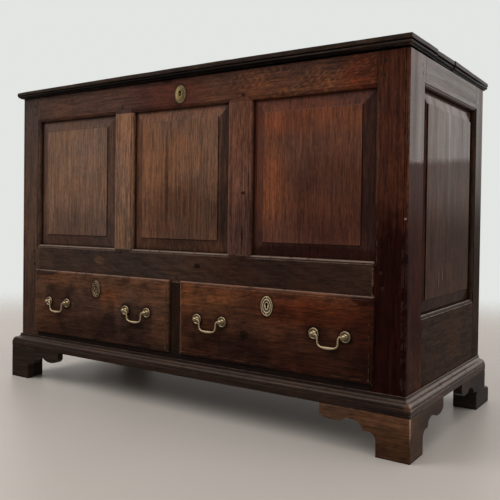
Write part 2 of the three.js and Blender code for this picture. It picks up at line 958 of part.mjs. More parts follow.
function caseStrap(side) {
  const centre = side * (endFace - hingeInset);
  const knuckle = strapWidth / 3;
  const y0 = rearFace + gap;
  const y1 = y0 + strapThickness;
  const plateTop = pinZ - knuckleRadius - gap;
  const x0 = centre - strapWidth / 2;
  const x1 = centre + strapWidth / 2;
  return joined([
    block(x0, x1, y0, y1, plateTop - caseStrapLength, plateTop),
    block(centre - knuckle / 2, centre + knuckle / 2, y0, y1, plateTop - overrun, pinZ),
    hingePin(centre, knuckleRadius, -knuckle / 2, knuckle / 2),
    hingePin(centre, hingePinRadius, -strapWidth / 2, strapWidth / 2),
  ]);
}

// Drawers
const drawerFloor = drawerOpeningBottom + gap;
const drawerGrooveBottom = drawerFloor + drawerBottomLift;
const drawerGrooveTop = drawerGrooveBottom + drawerBottomThickness;
const dovetailShares = [0.17, 0.5, 0.83];
const handleHeight = drawerOpeningBottom + drawerOpeningHeight / 2 + handleLift;
const drawerFace = frontFace - lipProud;

const drawerRear = backInner - drawerRearClearance;

const handleInsets = {
  left: [leftDrawerOuterInset, leftDrawerInnerInset],
  right: [rightDrawerInnerInset, rightDrawerOuterInset],
};

// The middle of a drawer's left or right handle (side -1 or 1)
function handleCentre(hand, side) {
  const [leftInset, rightInset] = handleInsets[hand];
  const [left, right] = drawerOpenings[hand];
  const half = postSpacing / 2;
  return side < 0 ? left + leftInset + half : right - rightInset - half;
}

function handlePosts(hand) {
  return [-1, 1].flatMap((side) =>
    [-1, 1].map((post) => handleCentre(hand, side) + post * (postSpacing / 2)),
  );
}

function drawerFront(hand) {
  const [left, right] = drawerOpenings[hand];
  const opening = [left, right, drawerOpeningBottom, drawerOpeningTop];
  const ovoloRise = lipProud - lipStep - lipEdge;
  const ovolo = quarterRound(4).map(([across, along]) => {
    const inset = lipOvoloWidth * (1 - along);
    return grown(opening, lipOverlap - inset, frontFace - lipEdge - ovoloRise * across);
  });
  const faceEdge = lipOverlap - lipOvoloWidth - lipStep;
  const face = stack(
    [
      grown(opening, faceEdge, drawerFace),
      grown(opening, faceEdge, drawerFace + lipStep),
      ...ovolo,
      grown(opening, lipOverlap, frontFace - gap),
    ],
    "y",
  );
  const bodyBottom = drawerOpeningBottom + drawerPlay;
  const body = block(
    left + drawerPlay,
    right - drawerPlay,
    frontFace - lipEdge,
    drawerBack,
    bodyBottom,
    drawerFrontTop,
  );
  const groove = block(
    left + drawerPlay + drawerSideThickness - drawerGrooveDepth,
    right - drawerPlay - drawerSideThickness + drawerGrooveDepth,
    drawerBack - drawerGrooveDepth,
    drawerBack + overrun,
    drawerGrooveBottom,
    drawerGrooveTop,
  );
  const centre = drawerCentre(hand);
  const drill = rod(shankRadius + gap, "y", drawerFace - overrun, drawerBack + overrun, 12);
  const holes = handlePosts(hand).map((x) => drill.translate([x, 0, handleHeight]));
  const sockets = [
    dovetails(left + drawerPlay - overrun, left + drawerPlay + drawerSideThickness + gap, gap),
    dovetails(right - drawerPlay - drawerSideThickness - gap, right - drawerPlay + overrun, gap),
  ];
  return cutBy(face.add(body), [
    groove,
    ...holes,
    ...sockets,
    lockSpace(centre, drawerBack, drawerFrontTop, gap),
    keyway(centre, drawerKeyholeHeight, drawerFace, drawerBack),
  ]);
}

// Tails on the front end of a drawer side, between two planes across x, grown by play
function dovetails(x0, x1, play) {
  const tip = drawerBack - dovetailDepth - play;
  const tails = dovetailShares.map((share) => {
    const z = drawerFloor + share * drawerSideHeight;
    const outline = [
      [drawerBack + overrun, z - dovetailBase / 2 - play],
      [drawerBack, z - dovetailBase / 2 - play],
      [tip, z - dovetailTip / 2 - play],
      [tip, z + dovetailTip / 2 + play],
      [drawerBack, z + dovetailBase / 2 + play],
      [drawerBack + overrun, z + dovetailBase / 2 + play],
    ];
    return prism(polygon(outline), "x", x0, x1);
  });
  return joined(tails);
}

function drawerBox(hand) {
  const [left, right] = drawerOpenings[hand];
  const top = drawerFloor + drawerSideHeight;
  const sides = [
    [left + drawerPlay, left + drawerPlay + drawerSideThickness, 1],
    [right - drawerPlay - drawerSideThickness, right - drawerPlay, -1],
  ].map(([x0, x1, inward]) => {
    const board = block(x0, x1, drawerBack + gap, drawerRear, drawerFloor, top);
    const inner = inward > 0 ? x1 : x0;
    const deep = inner - inward * drawerGrooveDepth;
    const near = inner + inward * overrun;
    const groove = block(
      Math.min(deep, near),
      Math.max(deep, near),
      frontFace,
      drawerRear + overrun,
      drawerGrooveBottom,
      drawerGrooveTop,
    );
    return board.add(dovetails(x0, x1, 0)).subtract(groove);
  });
  const back = block(
    left + drawerPlay + drawerSideThickness / 2,
    right - drawerPlay - drawerSideThickness / 2,
    drawerRear - drawerBackThickness,
    drawerRear,
    drawerGrooveTop,
    drawerGrooveTop + drawerBackHeight,
  );
  return joined([...sides, back]);
}

function drawerBottom(hand) {
  const [left, right] = drawerOpenings[hand];
  const inGroove = drawerPlay + drawerSideThickness - drawerGrooveDepth + gap;
  return block(
    left + inGroove,
    right - inGroove,
    drawerBack - drawerGrooveDepth + gap,
    drawerRear,
    drawerGrooveBottom + gap,
    drawerGrooveTop - gap,
  );
}

// Escutcheon: an oval plate with a softened edge, hung a little below its keyhole
function escutcheon(x, height, face, width) {
  const shape = new THREE.Shape();
  shape.absellipse(0, -plateDrop, width / 2 - plateEdge, plateHeight / 2 - plateEdge, 0, 2 * Math.PI);
  const slotHalf = keyholeSlotWidth / 2;
  const slotStart = Math.sqrt(keyholeRadius ** 2 - slotHalf ** 2);
  const from = Math.atan2(-slotStart, slotHalf);
  const hole = new THREE.Path();
  hole.absarc(0, 0, keyholeRadius, from, Math.PI - from, false);
  hole.lineTo(-slotHalf, -keyholeSlotLength);
  hole.lineTo(slotHalf, -keyholeSlotLength);
  shape.holes.push(hole);
  const geometry = new THREE.ExtrudeGeometry(shape, {
    depth: plateThickness - plateEdge,
    bevelThickness: plateEdge,
    bevelSize: plateEdge,
    bevelSegments: 1,
    curveSegments: 12,
  });
  geometry.rotateX(Math.PI / 2);
  const plate = solidOf(geometry);
  const rear = block(-width, width, 0, width, -plateHeight, plateHeight);
  return plate.subtract(rear).translate([x, face - gap, height]);
}

// Lock case: a tray open towards the wood, its back plate flush with the wood's rear face
function lockTray(x, back, top) {
  const outer = lockSpace(x, back, top, 0);
  const inner = block(
    x - lockWidth / 2 + lockWall,
    x + lockWidth / 2 - lockWall,
    back - lockDepth - overrun,
    back - lockWall,
    top - lockHeight + lockWall,
    top - lockWall,
  );
  return outer.subtract(inner);
}

function drawerBoltSpace(hand, play) {
  const x = drawerCentre(hand);
  const back = boltBack(drawerBack);
  return block(
    x - drawerBoltWidth / 2 - play,
    x + drawerBoltWidth / 2 + play,
    back - boltThickness - play,
    back + play,
    drawerFrontTop - drawerBoltHeight,
    drawerFrontTop + (play ? overrun : 0),
  );
}

function drawerLockCase(hand) {
  const tray = lockTray(drawerCentre(hand), drawerBack, drawerFrontTop);
  return tray.subtract(drawerBoltSpace(hand, gap));
}

// Chest lock: its bolt slides sideways through the link that hangs from the lid
const chestBoltTop = caseTop - chestBoltDrop;
const chestBoltBottom = chestBoltTop - chestBoltHeight;
const linkBack = frameBack - lockWall - linkPlay;
const chestBoltBack = linkBack - linkWall - linkPlay;
const linkFront = chestBoltBack - boltThickness - linkPlay - linkWall;
const linkLeft = chestLockOffset - linkWidth / 2;
const linkRight = chestLockOffset + linkWidth / 2;

function chestBolt() {
  const tip = linkLeft - linkPlay - gap;
  return block(
    tip - chestBoltLength,
    tip,
    chestBoltBack - boltThickness,
    chestBoltBack,
    chestBoltBottom,
    chestBoltTop,
  );
}

function chestLockCase() {
  const tray = lockTray(chestLockOffset, frameBack, caseTop);
  const slot = block(
    linkLeft - linkPlay,
    linkRight + linkPlay,
    linkFront - linkPlay,
    linkBack + linkPlay,
    caseTop - lockWall - overrun,
    caseTop + overrun,
  );
  const shelfTop = chestBoltBottom - gap;
  const shelf = block(
    chestLockOffset - lockWidth / 2,
    linkLeft - linkPlay,
    frameBack - lockDepth,
    frameBack,
    shelfTop - lockWall,
    shelfTop,
  );
  return tray.subtract(slot).add(shelf);
}

function lidLinkPlate() {
  const plate = block(
    chestLockOffset - linkPlateWidth / 2,
    chestLockOffset + linkPlateWidth / 2,
    linkPlateBack - linkPlateLength,
    linkPlateBack,
    lidUnderside,
    lidUnderside + linkPlateThickness,
  );
  const link = block(
    linkLeft,
    linkRight,
    linkFront,
    linkBack,
    chestBoltBottom - linkPlay - linkWall,
    lidUnderside + linkPlateThickness / 2,
  );
  const eye = block(
    linkLeft - overrun,
    linkRight + overrun,
    chestBoltBack - boltThickness - linkPlay,
    chestBoltBack + linkPlay,
    chestBoltBottom - linkPlay,
    chestBoltTop + linkPlay,
  );
  return plate.add(link.subtract(eye));
}

// Handles
// From the rose's rolled rim over its hollow to the collar, as shares of its radius and thickness
const roseShares = [
  [1, 0.55],
  [0.94, 1],
  [0.84, 1],
  [0.74, 0.4],
  [0.58, 0.4],
  [0.46, 1],
];
const knobSteps = 6;

function handlePost(x, inward) {
  const back = -(lipProud + drawerFrontInside + gap);
  const nutBack = back - nutThickness;
  const roseTop = gap + roseThickness;
  const neckTop = pivotReach - Math.sqrt(knobRadius ** 2 - neckRadius ** 2);
  const profile = [
    [0, nutBack - shankEnd],
    [shankRadius, nutBack - shankEnd],
    [shankRadius, nutBack],
    [nutRadius, nutBack],
    [nutRadius, back],
    [shankRadius, back],
    [shankRadius, gap],
    [roseRadius, gap],
    ...roseShares.map(([across, out]) => [roseRadius * across, gap + roseThickness * out]),
    [neckRadius, (roseTop + neckTop) / 2],
    [neckRadius, neckTop],
  ];
  const start = Math.atan2(neckTop - pivotReach, neckRadius);
  for (let i = 1; i < knobSteps; i++) {
    const angle = start + (i / knobSteps) * (Math.PI / 2 - start);
    profile.push([knobRadius * Math.cos(angle), pivotReach + knobRadius * Math.sin(angle)]);
  }
  profile.push([0, pivotReach + knobRadius]);
  const points = profile.map(([radius, out]) => new THREE.Vector2(radius, out));
  const turned = new THREE.LatheGeometry(points, 16);
  turned.rotateX(Math.PI);
  const eyeFrom = pintleSeat - gap;
  const eye = rod(bailRadius + gap, "x", eyeFrom, knobRadius + overrun, 12).translate([0, -pivotReach, 0]);
  const turnedSolid = solidOf(turned).subtract(inward > 0 ? eye : eye.mirror([1, 0, 0]));
  return turnedSolid.translate([x, drawerFace, handleHeight]);
}

// A swan-neck bail: half its route as shares of half the post spacing and of the drop
const bailRouteShares = [
  [0.8, 0],
  [0.68, -0.1],
  [0.655, -0.4],
  [0.625, -0.72],
  [0.43, -0.95],
];
const bailSteps = 26;
const bailSides = 8;

function bail(centre) {
  const half = postSpacing / 2;
  const left = bailRouteShares.map(([across, down]) => [-across * half, down * bailDrop]);
  const right = bailRouteShares.map(([across, down]) => [across * half, down * bailDrop]).reverse();
  const route = [[-half + pintleSeat, 0], ...left, [0, -bailDrop], ...right, [half - pintleSeat, 0]];
  const curve = new THREE.CatmullRomCurve3(
    route.map(([x, z]) => new THREE.Vector3(x, 0, z)),
    false,
    "centripetal",
  );
  const position = [];
  const faces = [];
  for (let i = 0; i <= bailSteps; i++) {
    const share = i / bailSteps;
    const at = curve.getPointAt(share);
    const along = i % bailSteps ? curve.getTangentAt(share) : new THREE.Vector3(1, 0, 0);
    const swell = Math.max(0, 1 - Math.abs(at.x) / (half / 2));
    const radius = bailRadius + (bellyRadius - bailRadius) * swell;
    for (let k = 0; k < bailSides; k++) {
      const angle = (k / bailSides) * 2 * Math.PI;
      const out = radius * Math.cos(angle);
      position.push(at.x - along.z * out, radius * Math.sin(angle), at.z + along.x * out);
      if (i < bailSteps) {
        const low = i * bailSides + k;
        const next = i * bailSides + ((k + 1) % bailSides);
        faces.push([low, low + bailSides, next + bailSides], [low, next + bailSides, next]);
      }
    }
  }
  const end = bailSteps * bailSides;
  for (let k = 1; k + 1 < bailSides; k++) {
    faces.push([0, k, k + 1], [end, end + k + 1, end + k]);
  }
  const geometry = new THREE.BufferGeometry();
  geometry.setAttribute("position", new THREE.Float32BufferAttribute(position, 3));
  geometry.setIndex(faces.flat());
  return solidOf(geometry).translate([centre, drawerFace - pivotReach, handleHeight]);
}

// The chest, piece by piece
const hands = { left: -1, right: 1 };
Object.entries(hands).forEach(([hand, side]) => {
  addNode(`front_${hand}_post`, frontPost(side), oakFrame);
  addNode(`rear_${hand}_post`, rearPost(side), oakDark);
});
Object.keys(frontRails).forEach((name) => addNode(name, frontRail(name), oakFrame));
muntinCentres.forEach((centre, i) => {
  addNode(`${Object.keys(hands)[i]}_front_muntin`, muntin(centre), oakFrame);
});
addNode("drawer_divider", drawerDivider(), oakFrame);
["left", "centre", "right"].forEach((place, i) => {
  addNode(`${place}_front_panel`, fieldedPanel(frontOpenings[i], "y", frontFace, 1), oakPanel);
});
Object.entries(hands).forEach(([hand, side]) => {
  Object.keys(sideRails).forEach((name) => addNode(`${hand}_${name}`, sideRail(name, side), oakFrame));
  const panel = fieldedPanel(sideOpening, "x", -endFace, 1);
  addNode(`${hand}_side_panel`, mirrored(panel, side), oakPanel);
});
addNode("back_boards", backBoards(), oakInside);
addNode("chest_floor", chestFloor(), oakInside);
addNode("drawer_bed", drawerBed(), oakInside);
addNode("plinth_moulding", plinthMoulding(), oakDark);
addNode("front_left_foot", frontFoot(-1), oakDark);
addNode("front_right_foot", frontFoot(1), oakFrame);
addNode("rear_left_foot", rearLeftFoot(), oakDark);
addNode("rear_right_foot", rearRightFoot(), oakDark);
addNode("lid", lid(), oakDark);
Object.entries(hands).forEach(([hand, side]) => {
  addNode(`${hand}_hinge_lid_strap`, lidStrap(side), iron);
  addNode(`${hand}_hinge_case_strap`, caseStrap(side), iron);
});
Object.keys(hands).forEach((hand) => {
  const x = drawerCentre(hand);
  addNode(`${hand}_drawer_front`, drawerFront(hand), oakDrawer);
  addNode(`${hand}_drawer_box`, drawerBox(hand), oakInside);
  addNode(`${hand}_drawer_bottom`, drawerBottom(hand), oakInside);
  const plate = escutcheon(x, drawerKeyholeHeight, drawerFace, drawerPlateWidth);
  addNode(`${hand}_drawer_escutcheon`, plate, brass);
  addNode(`${hand}_drawer_lock_case`, drawerLockCase(hand), iron);
  addNode(`${hand}_drawer_lock_bolt`, drawerBoltSpace(hand, 0), brass);
  Object.entries(hands).forEach(([handle, place]) => {
    const centre = handleCentre(hand, place);
    addNode(`${hand}_drawer_${handle}_bail`, bail(centre), brass);
    Object.entries(hands).forEach(([end, turn]) => {
      const post = handlePost(centre + turn * (postSpacing / 2), -turn);
      addNode(`${hand}_drawer_${handle}_bail_${end}_post`, post, brass);
    });
  });
});
const chestPlate = escutcheon(chestLockOffset, chestKeyholeHeight, frontFace, chestPlateWidth);
addNode("chest_escutcheon", chestPlate, brass);
addNode("chest_lock_case", chestLockCase(), iron);
addNode("chest_lock_bolt", chestBolt(), brass);
addNode("lid_link_plate", lidLinkPlate(), iron);

export default chest;
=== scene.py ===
import json
import random
from functools import partial
from math import atan2, cos, pi, radians, sin

import bmesh
import bpy
from mathutils import Matrix, Vector, noise

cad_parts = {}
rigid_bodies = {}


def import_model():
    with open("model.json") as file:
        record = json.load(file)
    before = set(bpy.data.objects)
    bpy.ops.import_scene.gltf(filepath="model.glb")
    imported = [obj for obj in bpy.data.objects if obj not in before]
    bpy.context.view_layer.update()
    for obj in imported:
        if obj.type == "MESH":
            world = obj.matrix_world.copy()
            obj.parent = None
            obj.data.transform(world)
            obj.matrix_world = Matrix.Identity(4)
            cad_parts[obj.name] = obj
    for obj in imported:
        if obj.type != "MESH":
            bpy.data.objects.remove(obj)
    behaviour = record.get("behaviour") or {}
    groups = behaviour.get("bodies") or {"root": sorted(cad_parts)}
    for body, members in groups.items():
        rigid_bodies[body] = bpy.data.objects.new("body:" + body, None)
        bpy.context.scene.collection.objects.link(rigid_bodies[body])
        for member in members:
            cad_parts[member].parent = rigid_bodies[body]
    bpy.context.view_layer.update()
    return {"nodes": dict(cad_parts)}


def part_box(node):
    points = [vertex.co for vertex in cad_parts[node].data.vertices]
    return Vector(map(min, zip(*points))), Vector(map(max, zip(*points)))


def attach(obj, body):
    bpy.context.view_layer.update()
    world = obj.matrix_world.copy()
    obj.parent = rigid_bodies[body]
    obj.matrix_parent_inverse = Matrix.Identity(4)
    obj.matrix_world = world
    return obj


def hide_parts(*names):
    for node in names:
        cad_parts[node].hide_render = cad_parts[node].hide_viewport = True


for leftover in list(bpy.data.objects):
    bpy.data.objects.remove(leftover)

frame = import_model()
mm = 0.001
hands = ("left", "right")
scene = bpy.context.scene
print("chest frame loaded:", len(frame["nodes"]), "pieces")


def spanOf(node):  # lowest and highest corner of a piece of the frame, in millimetres
    low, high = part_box(node)
    return low / mm, high / mm


def middleOf(node):
    low, high = spanOf(node)
    return (low + high) / 2


def lerp(one, other, share):
    return one + (other - one) * share


# planes of the case, from the frame
endFace = spanOf("front_right_post")[1].x
frontFace = spanOf("front_top_rail")[0].y
drawerFace = spanOf("right_drawer_front")[0].y
rearFace = spanOf("back_boards")[1].y


# camera, set where the picture was taken from
camera = {
    "place": (1128.8, -1329.73, 501.91),  # measured out from the front of the case
    "yaw": 34.05,
    "pitch": -0.984,
    "roll": 0.764,
    "lens": 48.04,
    "shift": -0.0421,
}


def makeCamera():
    yaw, pitch, roll = (radians(camera[key]) for key in ("yaw", "pitch", "roll"))
    ahead = Vector((-sin(yaw) * cos(pitch), cos(yaw) * cos(pitch), sin(pitch)))
    level = Vector((cos(yaw), sin(yaw), 0))
    upright = level.cross(ahead)
    across = level * cos(roll) + upright * sin(roll)
    up = upright * cos(roll) - level * sin(roll)
    data = bpy.data.cameras.new("camera")
    data.sensor_width = 36
    data.lens = camera["lens"]
    data.shift_y = camera["shift"]
    stand = bpy.data.objects.new("camera", data)
    turn = Matrix((across, up, -ahead)).transposed().to_4x4()
    turn.translation = (Vector(camera["place"]) + Vector((0, frontFace, 0))) * mm
    stand.matrix_world = turn
    scene.collection.objects.link(stand)
    scene.camera = stand


makeCamera()


# shader helpers
class Wire:  # a socket of a shader that takes part in sums
    def __init__(self, shader, socket):
        self.shader = shader
        self.socket = socket

    def __add__(self, other):
        return self.shader.sum("ADD", self, other)

    def __sub__(self, other):
        return self.shader.sum("SUBTRACT", self, other)

    def __rsub__(self, other):
        return self.shader.sum("SUBTRACT", other, self)

    def __mul__(self, other):
        return self.shader.sum("MULTIPLY", self, other)

    def __abs__(self):
        return self.shader.sum("ABSOLUTE", self, 0)

    __radd__, __rmul__ = __add__, __mul__

    def larger(self, other):
        return self.shader.sum("MAXIMUM", self, other)

    def within(self, low, high):  # a soft step up from low to high, or down if low is larger
        ends = {"Value": self, "From Min": low, "From Max": high}
        return self.shader.node("MapRange", {"interpolation_type": "SMOOTHSTEP"}, ends)


class Shader:
    def __init__(self, tree):
        self.tree = tree
        self.tree.nodes.clear()

    def node(self, kind, settings=None, inputs=None, output=0):
        made = self.tree.nodes.new("ShaderNode" + kind)
        for key, value in (settings or {}).items():
            if key == "stops":
                stops = made.color_ramp.elements
                while len(stops) < len(value):
                    stops.new(0.5)
                for stop, (at, colour) in zip(stops, value):
                    stop.position = at
                    stop.color = colour
            else:
                setattr(made, key, value)
        for key, value in (inputs or {}).items():
            if isinstance(value, Wire):
                self.tree.links.new(value.socket, made.inputs[key])
            else:
                made.inputs[key].default_value = value
        if isinstance(output, tuple):
            return [Wire(self, made.outputs[key]) for key in output]
        return Wire(self, made.outputs[output])

    def sum(self, operation, one, other):
        return self.node("Math", {"operation": operation}, {0: one, 1: other})

    def axes(self, kind="Object"):  # a coordinate, whole and as x, y and z
        place = self.node("TexCoord", output=kind)
        return place, *self.node("SeparateXYZ", inputs={0: place}, output=(0, 1, 2))

    def length(self, vector):
        return self.node("VectorMath", {"operation": "LENGTH"}, {0: vector}, output="Value")

    def point(self, a, b, c):
        return self.node("CombineXYZ", inputs={0: a, 1: b, 2: c})

    def cloud(self, a, b, c, detail=2, rough=0.5):  # noise from 0 to 1
        values = {"Vector": self.point(a, b, c), "Scale": 1, "Detail": detail, "Roughness": rough}
        return self.node("TexNoise", inputs=values)

    def mixed(self, share, one, other, mode="MIX"):
        settings = {"data_type": "RGBA", "blend_type": mode}
        return self.node("Mix", settings, {0: share, 6: one, 7: other}, output=2)

    def stainedAndShaded(self, share, colour, by):  # the colour times by, as far as share goes
        return self.mixed(share, colour, (*by, 1), "MULTIPLY")

    def openness(self, reach, samples, **settings):  # 0 deep in a corner, 1 in the open
        settings["samples"] = samples
        return self.node("AmbientOcclusion", settings, {"Distance": reach}, output="AO")

    def cover(self, inputs):
        surface = self.node("BsdfPrincipled", inputs=inputs)
        self.node("OutputMaterial", inputs={"Surface": surface}, output=())


def tint(red, green, blue):  # a colour as a screen shows it, 0 to 255
    linear = []
    for value in (red, green, blue):
        share = value / 255
        linear.append(share / 12.92 if share <= 0.04045 else ((share + 0.055) / 1.055) ** 2.4)
    return (*linear, 1)


def newMaterial(name):
    material = bpy.data.materials.new(name)
    material.use_nodes = True
    return material, Shader(material.node_tree)


# studio: a pale floor, a bright wall to the rear left, a dim room in front and a pale ceiling
studio = {
    "backdrop": (227, 229, 227),
    "ambient": 0.62,
    "wall": 0.85,
    "wallFoot": 0.16,
    "sheen": 0.26,
    "room": 0.035,
    "ceiling": 0.85,
    "floor": (187, 181, 174),
    "floorReach": (1.5, 2.9),
    "floorRadius": 3.2,
}
lamps = [
    {"name": "key", "place": (-2.3, -2.5, 2.7), "size": 1.9, "power": 58},
    {"name": "overhead", "place": (0.2, -0.6, 3.2), "size": 3.0, "power": 36},
    {"name": "side", "place": (3.4, 0.9, 1.9), "size": 2.0, "power": 22},
]


def makeWorld():
    world = bpy.data.worlds.new("studio")
    world.use_nodes = True
    shader = Shader(world.node_tree)
    x, y, z = shader.axes("Generated")[1:]
    wall = z.within(-0.02, 0.05) * (studio["wall"] - studio["wallFoot"]) + studio["wallFoot"]
    wall = wall * y.within(0.1, 0.35) * x.within(0.62, 0.45)
    window = x.within(-0.5, -0.85) * z.within(-0.1, 0.12) * y.within(0.0, -0.2)
    ceiling = z.within(0.45, 0.8) * studio["ceiling"]
    glossy = wall.larger((window * studio["sheen"]).larger(ceiling)) + studio["room"]
    soft = (z.within(-0.3, 0.5) * 0.3 + 0.7) * studio["ambient"]
    seen, mirrored, through = shader.node(
        "LightPath", output=("Is Camera Ray", "Is Glossy Ray", "Is Transmission Ray")
    )
    level = glossy * mirrored + soft * (1 - mirrored)
    light = shader.node("Background", inputs={"Color": tint(255, 249, 244), "Strength": level})
    backdrop = shader.node("Background", inputs={"Color": tint(*studio["backdrop"]), "Strength": 1.0})
    both = shader.node("MixShader", inputs={0: seen.larger(through), 1: light, 2: backdrop})
    shader.node("OutputWorld", inputs={"Surface": both}, output=())
    scene.world = world


def makeFloor():
    material, shader = newMaterial("studio_floor")
    place, x, y, z = shader.axes()
    mottle = shader.cloud(x * 3, y * 3, z, 3)
    dim = [0.94 * value for value in tint(*studio["floor"])[:3]] + [1]
    colour = shader.mixed(mottle, tint(*studio["floor"]), dim)
    surface = shader.node("BsdfPrincipled", inputs={"Base Color": colour, "Roughness": 0.42})
    clear = shader.node("BsdfTransparent")
    fade = shader.length(place).within(*studio["floorReach"])
    both = shader.node("MixShader", inputs={0: fade, 1: surface, 2: clear})
    shader.node("OutputMaterial", inputs={"Surface": both}, output=())
    mesh = bpy.data.meshes.new("studio_floor")
    disc = bmesh.new()
    bmesh.ops.create_circle(disc, cap_ends=True, segments=96, radius=studio["floorRadius"])
    disc.to_mesh(mesh)
    disc.free()
    mesh.materials.append(material)
    floor = bpy.data.objects.new("studio_floor", mesh)
    floor.visible_glossy = False
    scene.collection.objects.link(floor)


def makeLamps():
    for lamp in lamps:
        data = bpy.data.lights.new(lamp["name"], "AREA")
        data.energy = lamp["power"]
        data.size = lamp["size"]
        stand = bpy.data.objects.new(lamp["name"], data)
        stand.location = lamp["place"]
        stand.visible_glossy = False
        aim = Vector((0, 0, 0.45)) - stand.location
        stand.rotation_euler = aim.to_track_quat("-Z", "Y").to_euler()
        scene.collection.objects.link(stand)


makeWorld()
makeFloor()
makeLamps()
scene.view_settings.view_transform = "Standard"
print("studio set")


# oak, one material for each board
oakUsual = {
    "slot": "oak_frame",
    "along": "x",  # grain runs this way
    "across": "z",  # width of the board
    "seed": 0,
    "tone": (62, 41, 31),
    "contrast": 0.25,
    "wander": 0.009,  # how far the grain strays across the board, in metres
    "crown": 0,  # arching of the figure on a flat-sawn board
    "flecks": 0,  # strength of the ray flecks of a quarter-sawn board
    "fleckTurn": 34,
    "fleckFrom": 90,
    "fleckTone": (128, 82, 50),
    "patina": 0.45,
    "patinaBy": (0.52, 0.48, 0.48),
    "pores": 0.5,
    # dirt and painted shade in corners and recesses, from ambient occlusion
    "grime": 0.9,
    "grimeTone": (18, 8, 5),
    "wear": 0.4,
    "worn": (110, 84, 64),
    "rough": 0.4,
    "gloss": 0.2,
    "sheen": 0.35,
    "endSheen": 0.85,  # on the ends, where the wax is brighter above a line
    "sheenFoot": (620, 634),
    "sheenLow": 0.08,
    "wave": 0.1,  # height of the hand-planed hollows, in millimetres
    "field": None,  # the raised field of a panel, as centre and half size on two axes
    "bevels": (0.42, 0.37, 0.38),
    "crest": 1.75,  # how much more light the upper bevel takes
    "joints": (),  # where the edges of boards meet in one piece, across the grain
    "litEdge": 0,  # painted highlight on rounded arrises that face up or to the left, standing for the sheen they catch
    "litFrom": (0.4, 0.8),
    "litTone": (132, 112, 98),
    "inside": (112, 84, 58),  # bare wood on the inner faces
    "marks": (),
}
# where the bare inner faces begin: axis, place, and which way is in
innerLimits = (
    ("x", 606, -1), ("x", -606, 1), ("y", -261, 1), ("y", 264, -1), ("z", 866, -1), ("z", 134, 1),
)


def oakCoordinates(shader, board):
    place, x, y, z = shader.axes()
    rightward, rearward, upward = shader.axes("Normal")[1:]
    side = abs(rightward).within(0.5, 0.8)
    # facings that take the painted highlight: moulds turned to the left, and rounded arrises turned up
    leftEdge = rightward.within(-0.2, -0.5) * rearward.within(-0.1, -0.35)
    outward = abs(rightward).larger(rearward * -1)
    raised = upward.within(*board["litFrom"]) * outward.within(0.1, 0.3)  # no flat tops
    axes = {"x": x, "y": y, "z": z, "side": side, "lit": raised.larger(leftEdge)}
    if board["along"] == "round":  # brackets that run along the front and along the ends
        return place, axes, x * (1 - side) + y * side, z, y * (1 - side) + x * side
    rest = [key for key in "xyz" if key not in (board["along"], board["across"])][0]
    return place, axes, axes[board["along"]], axes[board["across"]], axes[rest]


def addMark(shader, place, axes, colour, at, size, by, soft, ragged, pitch, amount):
    # a local mark that multiplies the colour, for stains, wear, fading and painted shade: an oval with a
    # ragged rim
    for operation, values in (("SUBTRACT", at), ("DIVIDE", size)):
        inputs = {0: place, 1: [value * mm for value in values]}
        place = shader.node("VectorMath", {"operation": operation}, inputs)
    noisy = shader.cloud(*(axes[key] * pitch for key in "xyz"), 3, 0.6) - 0.5
    mask = (shader.length(place) + noisy * ragged).within(1 + soft / 2, 1 - soft / 2)
    return shader.stainedAndShaded(mask * amount, colour, by)


def scaledTone(tone, factor):
    return tint(*(min(255, value * factor) for value in tone))


